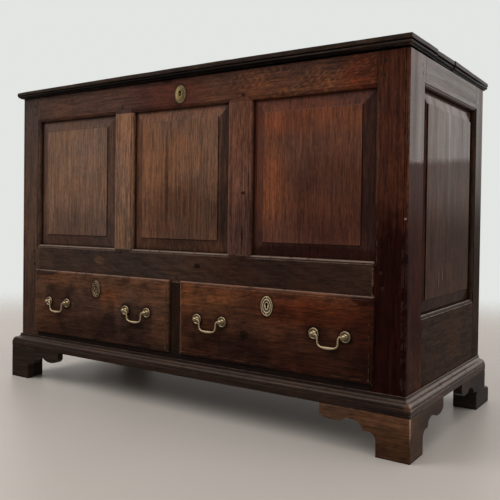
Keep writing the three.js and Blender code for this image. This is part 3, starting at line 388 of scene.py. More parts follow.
def oak(name, **look):
    board = {**oakUsual, **look}
    material, shader = newMaterial(name)
    place, axes, along, across, depth = oakCoordinates(shader, board)
    x, y, z = axes["x"], axes["y"], axes["z"]
    draw = random.Random(board["seed"] * 7 + 3)
    later, seam = 0, 0
    for joint in board["joints"]:
        later = across.within((joint - 0.3) * mm, (joint + 0.3) * mm) + later
        seam = abs(across - joint * mm).within(3 * mm, 1.2 * mm).larger(seam)
    along = along + draw.uniform(3, 9) + (later * 1.7 if board["joints"] else 0)
    across = across + draw.uniform(3, 9)
    depth = depth + draw.uniform(3, 9)

    # the grain line, straying slowly across the board
    stray = shader.cloud(across * 2.2, depth * 2.2, along * 1.5, 2) - 0.5
    ripple = shader.cloud(across * 18, depth * 18, along * 8, 1) - 0.5
    line = across + stray * (board["wander"] * 2) + ripple * (board["wander"] * 0.3)
    streak = shader.cloud(line * 150, depth * 60, along * 7, 3, 0.6)
    fine = shader.cloud(line * 370, depth * 150, along * 17, 2, 0.55)
    fibre = shader.cloud(line * 900, depth * 300, along * 70, 1)
    grain = streak * 0.3 + fine * 0.4 + fibre * 0.3
    if board["crown"]:
        middle = draw.uniform(5, 7)
        arch = (across - middle) * (across - middle) * board["crown"] + along
        flame = shader.cloud(arch * 30, depth * 12, line * 24, 3, 0.6)
        grain = grain * 0.8 + flame * 0.2
    grain = grain.within(0.38, 0.62)
    pore = shader.cloud(line * 1000, depth * 700, along * 80, 0).within(0.6, 0.7)

    tone, contrast = board["tone"], board["contrast"]
    darker, paler = scaledTone(tone, 1 - contrast * 1.1), scaledTone(tone, 1 + contrast)
    stops = [(0, darker), (0.5, tint(*tone)), (1, paler)]
    colour = shader.node("ValToRGB", {"stops": stops}, {0: grain})
    colour = shader.stainedAndShaded(pore * board["pores"], colour, (0.42, 0.36, 0.32))

    if board["flecks"]:
        turn = radians(board["fleckTurn"])
        sway = shader.cloud(along * 12, across * 12, depth, 2) - 0.5
        u = along * cos(turn) + across * sin(turn)
        v = across * cos(turn) - along * sin(turn) + sway * 0.03
        flat = {"voronoi_dimensions": "2D"}
        values = {"Vector": shader.point(u * 62, v * 300, 0), "Scale": 1, "Randomness": 1}
        distance, cell = shader.node("TexVoronoi", flat, values, ("Distance", "Color"))
        chance = shader.node("SeparateColor", inputs={0: cell})
        ray = distance.within(0.48, 0.22) * chance.within(0.42, 0.6)
        spread = shader.cloud(along * 6, across * 22, depth, 2).within(0.36, 0.52)
        reach = x.within(board["fleckFrom"] * mm, (board["fleckFrom"] + 150) * mm)
        spread = spread * (reach * 0.8 + 0.2)
        colour = shader.mixed(ray * spread * board["flecks"], colour, tint(*board["fleckTone"]))

    # patina: warm and cool clouds, blotches, then local marks
    patina = shader.cloud(x * 5 + board["seed"], y * 5, z * 5, 3, 0.6)
    mottle = shader.cloud(x * 17, y * 17 + board["seed"], z * 17, 4, 0.62)
    hue = shader.mixed(patina.within(0.35, 0.65), (1.1, 1.0, 0.88, 1), (0.9, 0.97, 1.08, 1))
    colour = shader.mixed(1, colour, hue, "MULTIPLY")
    dull = (patina * 0.45 + mottle * 0.55).within(0.43, 0.64)
    colour = shader.stainedAndShaded(dull * board["patina"], colour, board["patinaBy"])
    if board["field"]:
        field = 1
        for axis, middle, half in board["field"]:  # across first, then z
            away = abs(axes[axis] - middle * mm)
            field = away.within((half + 1.6) * mm, (half - 1.2) * mm) * field
            if axis != "z":
                beside = (away - half * mm).larger(0)
        colour = shader.stainedAndShaded(1 - field, colour, board["bevels"])
        # painted light: the upper bevel, facing up, is made paler by the crest factor
        crest = (z - (middle + half) * mm - beside).within(-mm, mm)
        colour = shader.stainedAndShaded(crest, colour, [board["crest"]] * 3)
        # painted shade: a dark line along the step round the raised field
        colour = shader.stainedAndShaded(field * (1 - field) * 3.9, colour, (0.28, 0.24, 0.24))
    if board["joints"]:
        hue = shader.mixed(later * 0.5, (1.12, 1.1, 1.06, 1), (0.84, 0.86, 0.92, 1))
        colour = shader.mixed(1, colour, hue, "MULTIPLY")
        colour = shader.mixed(seam * 0.85, colour, tint(*board["grimeTone"]))
    for mark in board["marks"]:
        colour = addMark(shader, place, axes, colour, *mark)

    # bare wood inside, dirt and painted shade in the corners, wear on the arrises
    bare = 1
    for axis, limit, inward in innerLimits:
        bare = axes[axis].within((limit - inward) * mm, (limit + inward) * mm) * bare
    raw = shader.mixed(grain, scaledTone(board["inside"], 0.75), scaledTone(board["inside"], 1.15))
    raw = shader.stainedAndShaded(dull * 0.7, raw, (0.6, 0.56, 0.5))
    colour = shader.mixed(bare, colour, raw)
    # dirt and painted shade: darker in corners and recesses, from ambient occlusion
    openness = shader.openness(0.013, 5)
    grime = (openness + (mottle - 0.5) * 0.15).within(0.78, 0.36) * board["grime"]
    colour = shader.mixed(grime, colour, tint(*board["grimeTone"]))
    solid = shader.openness(0.003, 4, inside=True, only_local=True)
    chafe = shader.cloud(x * 55, y * 55, z * 55, 4, 0.7)
    start = 0.84 - board["wear"] * 0.2
    rub = solid.within(0.84, 0.5) * (chafe + patina * 0.4).within(start, start + 0.16)
    rub = rub * min(1, board["wear"])
    colour = shader.mixed(rub, colour, tint(*board["worn"]))
    # painted highlight: paler colour on rounded arrises that face up or to the left
    if board["litEdge"]:
        share = axes["lit"] * chafe.within(0.3, 0.5) * (1 - bare) * board["litEdge"]
        colour = shader.mixed(share, colour, tint(*board["litTone"]))

    rough = board["rough"] + (fine - 0.5) * 0.16 + (patina - 0.5) * 0.2 + grime * 0.3 + rub * 0.1
    coat = 0  # bare boards have no wax
    if board["sheen"]:
        low, high = board["sheenFoot"]
        step = (z - (y + 0.2) * 0.09 + (chafe - 0.5) * 0.02).within(low * mm, high * mm)
        endSheen = (step * (1 - board["sheenLow"]) + board["sheenLow"]) * board["endSheen"]
        bands = shader.cloud(line * 30, depth * 30, along * 1.3, 2)
        endSheen = endSheen * (bands * 1.6 + 0.2)
        coat = endSheen * axes["side"] + (1 - axes["side"]) * board["sheen"]
        coat = coat * (1 - grime) * (1 - bare) * (mottle * 0.35 + fine * 0.5 + streak * 0.5 + 0.33)
    hollows = shader.cloud(across * 22, depth * 22, along * 8, 2)
    height = hollows * board["wave"] + fine * 0.06 + fibre * 0.03 - pore * 0.05
    normal = shader.node("Bump", inputs={"Strength": 1.0, "Distance": mm, "Height": height})
    shader.cover({
        "Base Color": colour,
        "Roughness": rough,
        "Specular IOR Level": board["gloss"],
        "Coat Weight": coat,
        "Coat Roughness": 0.12,
        "Normal": normal,
    })
    return material


# metals
brassLook = {"bright": (238, 214, 172), "dull": (176, 148, 116), "deep": (32, 22, 15)}
ironLook = {"bright": (74, 70, 66), "dull": (44, 39, 36), "rust": (84, 52, 36)}


def brass(name, seed, metal, rough=0.24, dull=0.35, hollow=None, bright=brassLook["bright"]):
    # hollow: the face behind the piece and the height above it that dirt fills, in millimetres
    material, shader = newMaterial(name)
    x, y, z = shader.axes()[1:]
    tarnish = shader.cloud(x * 160 + seed, y * 160, z * 160, 4, 0.6)
    spots = shader.cloud(x * 620, y * 620 + seed, z * 620, 2)
    shade = tarnish.within(0.75 - dull * 0.5, 1.1 - dull * 0.5)
    colour = shader.mixed(shade, tint(*bright), tint(*brassLook["dull"]))
    colour = shader.mixed(spots.within(0.6, 0.74) * 0.5, colour, tint(*brassLook["deep"]))
    dirt = shader.openness(0.004, 6).within(0.66, 0.25) * 0.9
    if hollow:
        face, fill = hollow
        above = face * mm - y
        sunk = (above + (spots - 0.5) * 0.0008).within((fill + 0.35) * mm, (fill - 0.2) * mm) * 0.92
        dirt = dirt.larger(sunk)
    colour = shader.mixed(dirt, colour, tint(*brassLook["deep"]))
    values = {"Strength": 0.6, "Distance": mm, "Height": tarnish * 0.05 + spots * 0.015}
    shader.cover({
        "Base Color": colour,
        "Metallic": (1 - dirt * 0.8) * metal,
        "Roughness": rough + (tarnish - 0.5) * 0.3 + dirt * 0.3,
        "Normal": shader.node("Bump", inputs=values),
    })
    return material


def iron(name, seed):
    material, shader = newMaterial(name)
    x, y, z = shader.axes()[1:]
    scale = shader.cloud(x * 90 + seed, y * 90, z * 90, 4, 0.6)
    pits = shader.cloud(x * 420, y * 420 + seed, z * 420, 3, 0.6)
    colour = shader.mixed(scale, tint(*ironLook["bright"]), tint(*ironLook["dull"]))
    rust = (scale * 0.5 + pits * 0.5).within(0.52, 0.62)
    colour = shader.mixed(rust * 0.75, colour, tint(*ironLook["rust"]))
    values = {"Strength": 0.8, "Distance": mm, "Height": scale * 0.4 + pits * 0.2}
    shader.cover({
        "Base Color": colour,
        "Metallic": 0.85 - rust * 0.7,
        "Roughness": 0.48 + rust * 0.35,
        "Normal": shader.node("Bump", inputs=values),
    })
    return material


# the boards that stay as the frame has them: softened arrises and a finish of their own
def soften(node, width):
    weld = node.modifiers.new("weld", "WELD")
    weld.merge_threshold = 0.00001
    flat = node.modifiers.new("flat", "DECIMATE")
    flat.decimate_type = "DISSOLVE"
    flat.angle_limit = radians(1)
    soft = node.modifiers.new("soft", "BEVEL")
    soft.width = width * mm
    soft.segments = 2
    soft.limit_method = "ANGLE"
    soft.angle_limit = radians(40)


def finishNode(name, material, width=1.2):
    node = frame["nodes"][name]
    soften(node, width)
    node.material_slots[0].material = material


# stains, wear, fading and patches of painted shade on single pieces
def mark(x, z, size, by, soft=0.5, ragged=0.7, pitch=40, amount=1, y=frontFace):
    # middle and half sizes in millimetres, then factors on red, green and blue
    return (x, y, z), size, by, soft, ragged, pitch, amount


chestPlate = middleOf("chest_escutcheon")
footLow, footHigh = spanOf("front_right_foot")
endPanelMarks = (
    mark(endFace - 5, 371, (20, 2.2, 14), (3.6, 4.2, 4.6), 0.6, 0.4, y=-34),
    mark(endFace - 5, 362, (20, 2.2, 17), (3.0, 3.6, 4.0), 0.6, 0.4, y=-60),
)
marks = {
    "front_top_rail": (
        mark(-330, 822, (300, 60, 70), (0.92, 1.0, 1.08), 0.9),
        mark(-50, 815, (120, 40, 60), (0.95, 0.66, 0.64), 0.9),
        mark(340, 800, (190, 60, 30), (1.3, 1.15, 0.95), 0.9, 0.5),
        mark(530, 820, (60, 60, 60), (1.02, 0.6, 0.42), 1.1),
        # dirt and painted shadow in a dark ring round the chest's plate
        mark(chestPlate.x, chestPlate.z, (21, 30, 28), (0.35, 0.3, 0.3), 0.4, 0.3, y=chestPlate.y),
        mark(-37, 857, (17, 30, 7), (0.3, 0.25, 0.25), 0.3),
        mark(206, 798, (6, 20, 4.5), (0.25, 0.2, 0.2), 0.3),
    ),
    "front_middle_rail": (
        mark(-286, 375, (17, 30, 12), (1.9, 1.7, 1.4), 0.9),
        mark(69, 377, (10, 30, 6), (0.3, 0.26, 0.26)),
        mark(330, 372, (240, 60, 60), (0.72, 0.55, 0.5), 0.9),
    ),
    "right_front_muntin": (
        mark(208, 561, (7, 20, 4), (0.25, 0.2, 0.2), 0.3),
        mark(207, 455, (3, 20, 24), (0.3, 0.26, 0.24), 0.5, 1.2, 160),
        mark(195, 440, (60, 40, 110), (0.66, 0.66, 0.72), 0.9),
    ),
    "left_front_muntin": (
        mark(-205, 430, (80, 60, 130), (0.82, 0.87, 0.92), 1.0),
    ),
    "front_left_post": (
        mark(-590, 190, (70, 60, 130), (0.7, 0.66, 0.66), 1.1),
    ),
    "front_right_post": (
        # darker lower half: partly the post's dark finish, partly painted shade
        mark(590, 280, (120, 14, 240), (0.31, 0.18, 0.2), 0.5, 0.4),
        mark(endFace, 650, (2.4, 3, 240), (1.9, 2.4, 2.7), 1.0, 2.4, 150),
        mark(620, 503, (2.6, 14, 2.4), (6, 20, 30), 0.3, 0.3),
        mark(endFace, 430, (14, 56, 240), (0.7, 0.4, 0.34), 0.6, 0.4, y=-212),
        mark(endFace, 627, (10, 34, 1.3), (3.0, 5.2, 6.4), 0.6, 0.6, y=-215),
    ),
    "left_front_panel": (
        mark(-390, 655, (90, 60, 110), (1.15, 1.12, 1.08), 0.9),
        mark(-390, 455, (160, 60, 60), (0.68, 0.68, 0.75), 1.1),
    ),
    "centre_front_panel": (
        mark(-41, 590, (6, 60, 120), (0.45, 0.45, 0.5), 0.9, 0.5),
        mark(20, 500, (160, 60, 90), (0.54, 0.53, 0.56), 0.9),
        # painted shade on the right-hand bevel, which faces away from the light
        mark(151, 600, (19, 60, 230), (0.62, 0.64, 0.7), 0.4, 0.2),
        mark(-90, 650, (60, 60, 150), (1.02, 1.0, 0.95), 0.9),
    ),
    "right_front_panel": (
        mark(275, 640, (50, 60, 170), (1.4, 1.22, 1.02), 1.1),
        mark(390, 735, (150, 60, 40), (1.2, 1.0, 0.85), 0.9),
        mark(440, 540, (110, 60, 110), (0.66, 0.6, 0.62), 0.9),
        mark(395, 462, (180, 60, 44), (0.76, 0.74, 0.84), 1.1),
        # painted shade on the lower bevel, which faces down
        mark(395, 423, (190, 60, 17), (0.6, 0.42, 0.36), 0.5, 0.2),
        # painted shade on the right-hand bevel, which faces away from the light
        mark(545, 600, (26, 60, 220), (0.72, 0.78, 0.9), 0.4, 0.2),
    ),
    "left_side_panel": endPanelMarks,
    "right_side_panel": endPanelMarks,
    "front_right_foot": (
        mark(endFace + 20, 70, (40, 120, 120), (0.56, 0.56, 0.54), 0.8, y=-150),
        mark(footLow.x + 170, 20, (80, 50, 46), (0.5, 0.48, 0.46), 1.0, y=footLow.y),
        mark(footHigh.x, 92, (2.4, 2.4, 46), (3.4, 5.2, 7.6), 0.9, 2.0, 190, y=footLow.y),
    ),
}


def drawerMarks(hand):
    low, high = spanOf(f"{hand}_drawer_front")
    centre, top = (low.x + high.x) / 2, high.z
    stainAndShade = partial(mark, y=low.y)
    shift, foot = (-40, (0.6, 0.52, 0.5)) if hand == "left" else (40, (0.46, 0.38, 0.4))
    plate = middleOf(f"{hand}_drawer_escutcheon")
    found = [
        stainAndShade(centre, top, (310, 60, 60), (1.5, 1.34, 1.1), 1.1, pitch=14),
        stainAndShade(centre + shift, low.z, (360, 60, 76), foot, 1.1, pitch=12),
    ]
    for place in hands:  # dirt and painted shadow round the brasses
        bail = middleOf(f"{hand}_drawer_{place}_bail")
        found.append(stainAndShade(bail.x, bail.z - 8, (50, 60, 24), (0.5, 0.44, 0.42), 1.1, amount=0.7))
        for end in hands:
            post = middleOf(f"{hand}_drawer_{place}_bail_{end}_post")
            found.append(stainAndShade(post.x, post.z, (18, 60, 18), (0.3, 0.24, 0.22), 0.9, 0.4))
    # dirt and painted shadow round the drawer's plate
    found.append(stainAndShade(plate.x, plate.z, (21, 60, 29), (0.4, 0.34, 0.32), 0.7, 0.4))
    if hand == "left":
        return found + [
            stainAndShade(-508, top - 4, (54, 30, 12), (0.4, 0.42, 0.46), 0.2, 0.15),
            stainAndShade(-436, 272, (60, 60, 30), (0.55, 0.55, 0.6), 1.0),
            stainAndShade(-231, 267, (40, 60, 30), (1.5, 1.15, 0.8), 1.0),
        ]
    return found + [
        stainAndShade(532, top - 7, (30, 30, 13), (0.4, 0.3, 0.32), 0.3),
        stainAndShade(560, 240, (70, 40, 120), (0.42, 0.3, 0.3), 1.1),
        stainAndShade(223, 219, (14, 60, 11), (0.4, 0.38, 0.36)),
        stainAndShade(400, 285, (130, 60, 34), (0.95, 0.62, 0.36), 1.0),
        stainAndShade(100, 290, (90, 60, 34), (1.6, 1.7, 1.5), 1.0),
    ]


# the boards, in an order that gives each its seed
endOak = {"wave": 0.06, "rough": 0.46, "wear": 0.5, "grime": 0.6, "gloss": 0.02}
upright = {"along": "z", "across": "x"}
level = {"along": "x", "across": "z"}
endUpright = {"along": "z", "across": "y", **endOak}
endLevel = {"along": "y", "across": "z", **endOak}
# dark red dirt and painted shade in the corners and jambs of the front frame
redGrimeAndShade = {"grimeTone": (44, 14, 8)}
frontPanel = {**upright, "slot": "oak_panel", "patina": 0.25, "contrast": 0.21}
insideOak = {"slot": "oak_inside", "tone": (112, 84, 58), "rough": 0.7, "sheen": 0, "wear": 0.2, "grime": 0.5,
             "patina": 0.5, "wave": 0.3}
insideLevel = {**level, **insideOak, "across": "y"}
drawerOak = {**level, "slot": "oak_drawer", "crown": 1.2, "wander": 0.007, "rough": 0.36, "wear": 1.0,
             "worn": (150, 114, 86), "wave": 0.12, "patina": 0.85, "patinaBy": (0.36, 0.32, 0.34),
             "sheen": 0.3, "litEdge": 0.6}
rearPost = {**endUpright, "slot": "oak_dark", "tone": (58, 43, 34), "sheenFoot": (250, 820), "endSheen": 0.66}
rearFoot = {"slot": "oak_dark", "along": "round", "tone": (48, 36, 29), "endSheen": 0.3}
sideRail = {**endLevel, "litTone": (160, 150, 143), "litFrom": (0.7, 0.92)}
sidePanel = {**endUpright, "slot": "oak_panel", "tone": (72, 50, 41), "bevels": (0.6, 0.56, 0.54),
             "sheenFoot": (616, 640), "sheenLow": 0.3}
boards = {
    "front_left_post": {**upright, "tone": (76, 56, 46)},
    "front_right_post": {**upright, **redGrimeAndShade, "tone": (67, 37, 26), "wear": 0.9, "worn": (150, 124, 104),
                         "gloss": 0.04},
    "rear_left_post": rearPost,
    "rear_right_post": rearPost,
    "front_top_rail": {**level, **redGrimeAndShade, "tone": (78, 50, 38), "flecks": 0.6},
    "front_middle_rail": {**level, **redGrimeAndShade, "tone": (60, 44, 36), "crown": 1.4, "wear": 1.3,
                          "worn": (140, 112, 92), "litEdge": 0.75},
    # a dark tone: partly the rail's dark finish, partly painted shade under the drawers
    "front_bottom_rail": {**level, "tone": (28, 17, 13)},
    "left_front_muntin": {**upright, "patina": 0.3, "tone": (119, 88, 69), "litEdge": 0.4},
    "right_front_muntin": {**upright, **redGrimeAndShade, "tone": (103, 67, 52), "litEdge": 0.4},
    "drawer_divider": {**upright, "tone": (42, 24, 15)},
    "left_front_panel": {**frontPanel, "contrast": 0.18, "tone": (108, 83, 68), "bevels": (0.62, 0.6, 0.65),
                         "crest": 1.08},
    "centre_front_panel": {**frontPanel, "tone": (112, 79, 59), "bevels": (0.6, 0.56, 0.57), "crest": 1.7},
    "right_front_panel": {**frontPanel, **redGrimeAndShade, "patina": 0.3, "tone": (96, 60, 44),
                          "bevels": (0.5, 0.48, 0.55), "crest": 1.5},
    "back_boards": {**level, **insideOak, "crown": 1.5, "tone": (94, 74, 56)},
    "chest_floor": insideLevel,
    "drawer_bed": insideLevel,
    "front_left_foot": {"slot": "oak_dark", "along": "round", "tone": (44, 33, 27)},
    "front_right_foot": {"along": "round", "tone": (92, 63, 43), "wear": 0.7, "worn": (176, 154, 130),
                         "contrast": 0.2, "patina": 0.7},
    "rear_left_foot": rearFoot,
    "rear_right_foot": rearFoot,
}
for hand, drawerTone in (("left", (80, 55, 41)), ("right", (80, 46, 28))):
    marks[f"{hand}_drawer_front"] = drawerMarks(hand)
    boards[f"{hand}_side_top_rail"] = {**sideRail, "tone": (66, 46, 41)}
    boards[f"{hand}_side_bottom_rail"] = {**sideRail, "tone": (60, 45, 37), "litEdge": 0.9}
    boards[f"{hand}_side_panel"] = sidePanel
    boards[f"{hand}_drawer_front"] = {**drawerOak, "tone": drawerTone}
    boards[f"{hand}_drawer_box"] = {**endLevel, **insideOak}
    boards[f"{hand}_drawer_bottom"] = insideLevel
boardJoints = {"back_boards": ("z", (1 / 3, 2 / 3)), "chest_floor": ("y", (0.36, 0.67))}
bevelWidth = 40  # of a panel, with the tongue that its groove hides


def finishBoards():
    for seed, (name, look) in enumerate(boards.items()):
        low, high = spanOf(name)
        middle, half = (low + high) / 2, (high - low) / 2
        look = {**oakUsual, **look, "seed": seed, "marks": marks.get(name, ())}
        if look["slot"] == "oak_panel":
            fields = [(axis, "xyz".index(axis)) for axis in (look["across"], "z")]
            look["field"] = [(axis, middle[k], half[k] - bevelWidth) for axis, k in fields]
        if name in boardJoints:
            axis, shares = boardJoints[name]
            look["joints"] = [lerp(getattr(low, axis), getattr(high, axis), share) for share in shares]
        finishNode(name, oak(name + "_oak", **look))


finishBoards()
metalIron = iron("wrought_iron", 4)
metalBrass = brass("old_brass", 2, 0.7)
metalSoft = 0.4  # width of the softened arrises
for hand in hands:
    for part in ("hinge_lid_strap", "hinge_case_strap", "drawer_lock_case"):
        finishNode(f"{hand}_{part}", metalIron, metalSoft)
    finishNode(f"{hand}_drawer_lock_bolt", metalBrass, metalSoft)
finishNode("chest_lock_case", metalIron, metalSoft)
finishNode("lid_link_plate", metalIron, metalSoft)
finishNode("chest_lock_bolt", metalBrass, metalSoft)
print("boards and ironwork finished")


# making of new pieces, with points in millimetres
def addPiece(name, shape, material, body, smooth, replaced=None):
    points, faces = shape
    mesh = bpy.data.meshes.new(name)
    mesh.from_pydata([Vector(point) * mm for point in points], [], faces)
    tidy = bmesh.new()
    tidy.from_mesh(mesh)
    bmesh.ops.recalc_face_normals(tidy, faces=tidy.faces)
    tidy.to_mesh(mesh)
    tidy.free()
    mesh.shade_smooth()
    mesh.set_sharp_from_angle(angle=radians(smooth))
    mesh.materials.append(material)
    piece = bpy.data.objects.new(name, mesh)
    scene.collection.objects.link(piece)
    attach(piece, body)
    if replaced:
        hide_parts(replaced)


def circle(centre, across, up, reaches, start=0):
    # a loop of points round a centre, each at its own reach
    turns = [start + 2 * pi * k / len(reaches) for k in range(len(reaches))]
    return [centre + (across * cos(turn) + up * sin(turn)) * reach for turn, reach in zip(turns, reaches)]


def loft(rings, capped=True):
    # skin over loops of equal length; the ends get one face each, or are joined to each other
    count = len(rings[0])
    faces = []
    for level in range(len(rings) - capped):
        low, high = level * count, (level + 1) % len(rings) * count
        for k in range(count):
            beside = (k + 1) % count
            faces.append((low + k, low + beside, high + beside, high + k))
    if capped:
        faces.append(tuple(reversed(range(count))))
        faces.append(tuple(range((len(rings) - 1) * count, len(rings) * count)))
    return [point for ring in rings for point in ring], faces


def joinLists(parts):
    points, faces = [], []
    for morePoints, moreFaces in parts:
        start = len(points)
        points.extend(morePoints)
        faces.extend(tuple(start + index for index in face) for face in moreFaces)
    return points, faces


def waver(x, y, z, size, pitch):  # smooth unevenness in millimetres
    return size * noise.noise(Vector((x, y, z)) / pitch)


# lid: three boards edge to edge, in wind, lifting a little at the front right corner
lidSet = {
    "names": ("lid_front_board", "lid_middle_board", "lid_rear_board"),
    "jointShares": (0, 0.28, 0.5, 1),
    "trimLeft": (0.4, 0.0, 1.0),  # how short each board stops at its ends
    "trimRight": (0.0, 2.2, 0.6),
    "sink": (0.0, 0.9, 0.3),  # of each board's top below its neighbours
    "leftDrop": 7.0,
    "rearDrop": 3.8,
    "cornerLift": 3.4,
    "cornerWorn": (0.035, 0.7),  # where the wear of the corners ends, as shares of width and depth
    "columns": 84,
    "rows": 6,
    # moulded edge: inset, and height as a share of the thickness
    "edge": ((2.2, 1.0), (0.7, 0.975), (0.0, 0.93), (0.0, 0.56), (0.5, 0.525), (1.4, 0.51), (4.8, 0.505),
             (5.0, 0.42), (3.4, 0.40), (2.4, 0.33), (2.2, 0.26), (2.8, 0.19), (4.0, 0.14), (6.4, 0.12),
             (7.4, 0.07), (7.5, 0.0)),
    "joint": (1.3, 0.4, 0.15, 0.1),  # insets at a joint; the last one goes on down
    # insets at the left end, where the moulding is worn to one round
    "worn": (4.2, 2.2, 1.0, 0.0, 0.1, 0.3, 0.8, 1.1, 1.0, 1.3, 2.0, 3.0, 4.2, 5.2, 6.4, 7.5),
}


def smoothStep(value, low, high):
    share = min(1, max(0, (value - low) / (high - low)))
    return share * share * (3 - 2 * share)


def lidHeights(low, high, x, y, sink):
    u = (x - low.x) / (high.x - low.x)
    v = (y - low.y) / (high.y - low.y)
    drop = lidSet["leftDrop"] * max(0, 1 - u / 0.62) ** 1.3
    drop = max(drop, lidSet["rearDrop"] * smoothStep(v, 0.45, 0.95))
    top = high.z - 0.15 - drop - sink - abs(waver(x, y, 0, 0.7, 160)) - abs(waver(x, y * 3, 40, 0.25, 60))
    lift = lidSet["cornerLift"] * smoothStep(u, 0.25, 1) * smoothStep(v, 0.8, 0.0)
    return low.z + 0.15 + lift, top


def lidBoard(index, low, high):
    columns, rows = lidSet["columns"], lidSet["rows"]
    edge, joint, worn = lidSet["edge"], lidSet["joint"], lidSet["worn"]
    wornWidth, wornFrom = lidSet["cornerWorn"]
    y0, y1 = (lerp(low.y, high.y, share) for share in lidSet["jointShares"][index:index + 2])
    x0, x1 = low.x + lidSet["trimLeft"][index], high.x - lidSet["trimRight"][index]

    def inset(level, moulded):
        return edge[level][0] if moulded else joint[min(level, len(joint) - 1)]

    def spot(level, i, j):
        u, v = i / columns, j / rows
        left, right = worn[level], edge[level][0]
        front, rear = inset(level, index == 0), inset(level, index == 2)
        if index == 0:  # the worn round goes on past the front corner
            front = lerp(left, front, smoothStep(u, 0, wornWidth))
        if index == 2:  # and the rear right corner is worn too
            right = lerp(right, left, smoothStep(v, wornFrom, 1))
        x = lerp(x0 + left, x1 - right, u)
        y = lerp(y0 + front, y1 - rear, v)
        if i in (0, columns):
            ragged = abs(waver(x, y, level * 3, 0.9, 30)) + abs(waver(x, y, 9, 1.2, 90))
            x += ragged if i == 0 else -ragged
        if j == 0 and index == 0:
            nick = max(0, noise.noise(Vector((x / 22, 3.7, 1.3))) - 0.42)
            y += abs(waver(x, y, level * 2, 0.8, 26)) + 0.2 + nick * (9 if level < 3 else 2)
        if j == rows and index == 2:
            y -= abs(waver(x, y, level * 2, 0.8, 30))
        bottom, top = lidHeights(low, high, x, y, lidSet["sink"][index])
        return x, y, lerp(bottom, top, edge[level][1])

    around = [(i, 0) for i in range(columns)] + [(columns, j) for j in range(rows)]
    around += [(i, rows) for i in range(columns, 0, -1)] + [(0, j) for j in range(rows, 0, -1)]
    whole = [(i, j) for i in range(columns + 1) for j in range(rows + 1)]
    last = len(edge) - 1
    points, faces, number = [], [], {}
    for level in range(last + 1):
        for at in whole if level in (0, last) else around:
            number[level, at] = len(points)
            points.append(spot(level, *at))
    for level in (0, last):
        for i, j in whole:
            if i < columns and j < rows:
                square = ((i, j), (i + 1, j), (i + 1, j + 1), (i, j + 1))
                faces.append([number[level, at] for at in square])
    for level in range(last):
        for one, other in zip(around, around[1:] + around[:1]):
            square = ((level, one), (level, other), (level + 1, other), (level + 1, one))
            faces.append([number[key] for key in square])
    return points, faces


def makeLid():
    low, high = spanOf("lid")
    under = (0.13, 0.1, 0.1)
    # painted shade: the lower band of the moulded edge is made near black along the front and along the right
    # end; then the right end is made darker near its top
    shade = (
        mark(0, low.z - 2, (700, 22, 12.5), under, 0.3, 0.25, y=low.y),
        mark(high.x, low.z - 2, (22, 330, 12.5), under, 0.3, 0.25, y=0),
        mark(high.x, high.z, (7, 400, 40), (0.74, 0.74, 0.77), 0.4, 0.3, y=0),
    )
    look = {"along": "x", "across": "y", "tone": (50, 37, 29), "crown": 1.6, "wear": 0.6,
            "worn": (104, 84, 68), "sheen": 0.3, "endSheen": 0.12, "marks": shade}
    for index, name in enumerate(lidSet["names"]):
        material = oak(f"lid_board_{index}_oak", seed=70 + index, **look)
        shape = lidBoard(index, low, high)
        addPiece(name, shape, material, "lid", 28, "lid" if index == 0 else None)


# plinth moulding: three mitred lengths
plinthSet = {"strip": 16, "lip": 0.93, "fillet": 3.6, "steps": 9, "spacing": 16, "nicks": range(3, 8)}


def plinthProfile(low, high, reach):  # distance out from the case, and height
    bottom, top, fillet = low.z, high.z, plinthSet["fillet"]
    shelf = bottom + plinthSet["strip"]
    half = (top - shelf) / 2
    lip = reach * plinthSet["lip"]
    bulge = (lip - fillet) / 2
    turns = [k / plinthSet["steps"] * pi / 2 for k in range(plinthSet["steps"] + 1)]
    points = [(0.3, bottom), (reach - 0.8, bottom), (reach, bottom + 0.8), (reach, shelf - 1.2),
              (reach - 0.6, shelf), (lip, shelf + 0.3)]
    for turn in turns:
        points.append((lip - bulge * (1 - cos(turn)), shelf + 0.5 + (half - 0.5) * sin(turn)))
    for turn in turns[1:]:
        points.append((fillet + bulge * (1 - sin(turn)), shelf + half + (half - fillet) * (1 - cos(turn))))
    return points + [(fillet, top - 0.6), (fillet - 0.6, top), (0.3, top)]


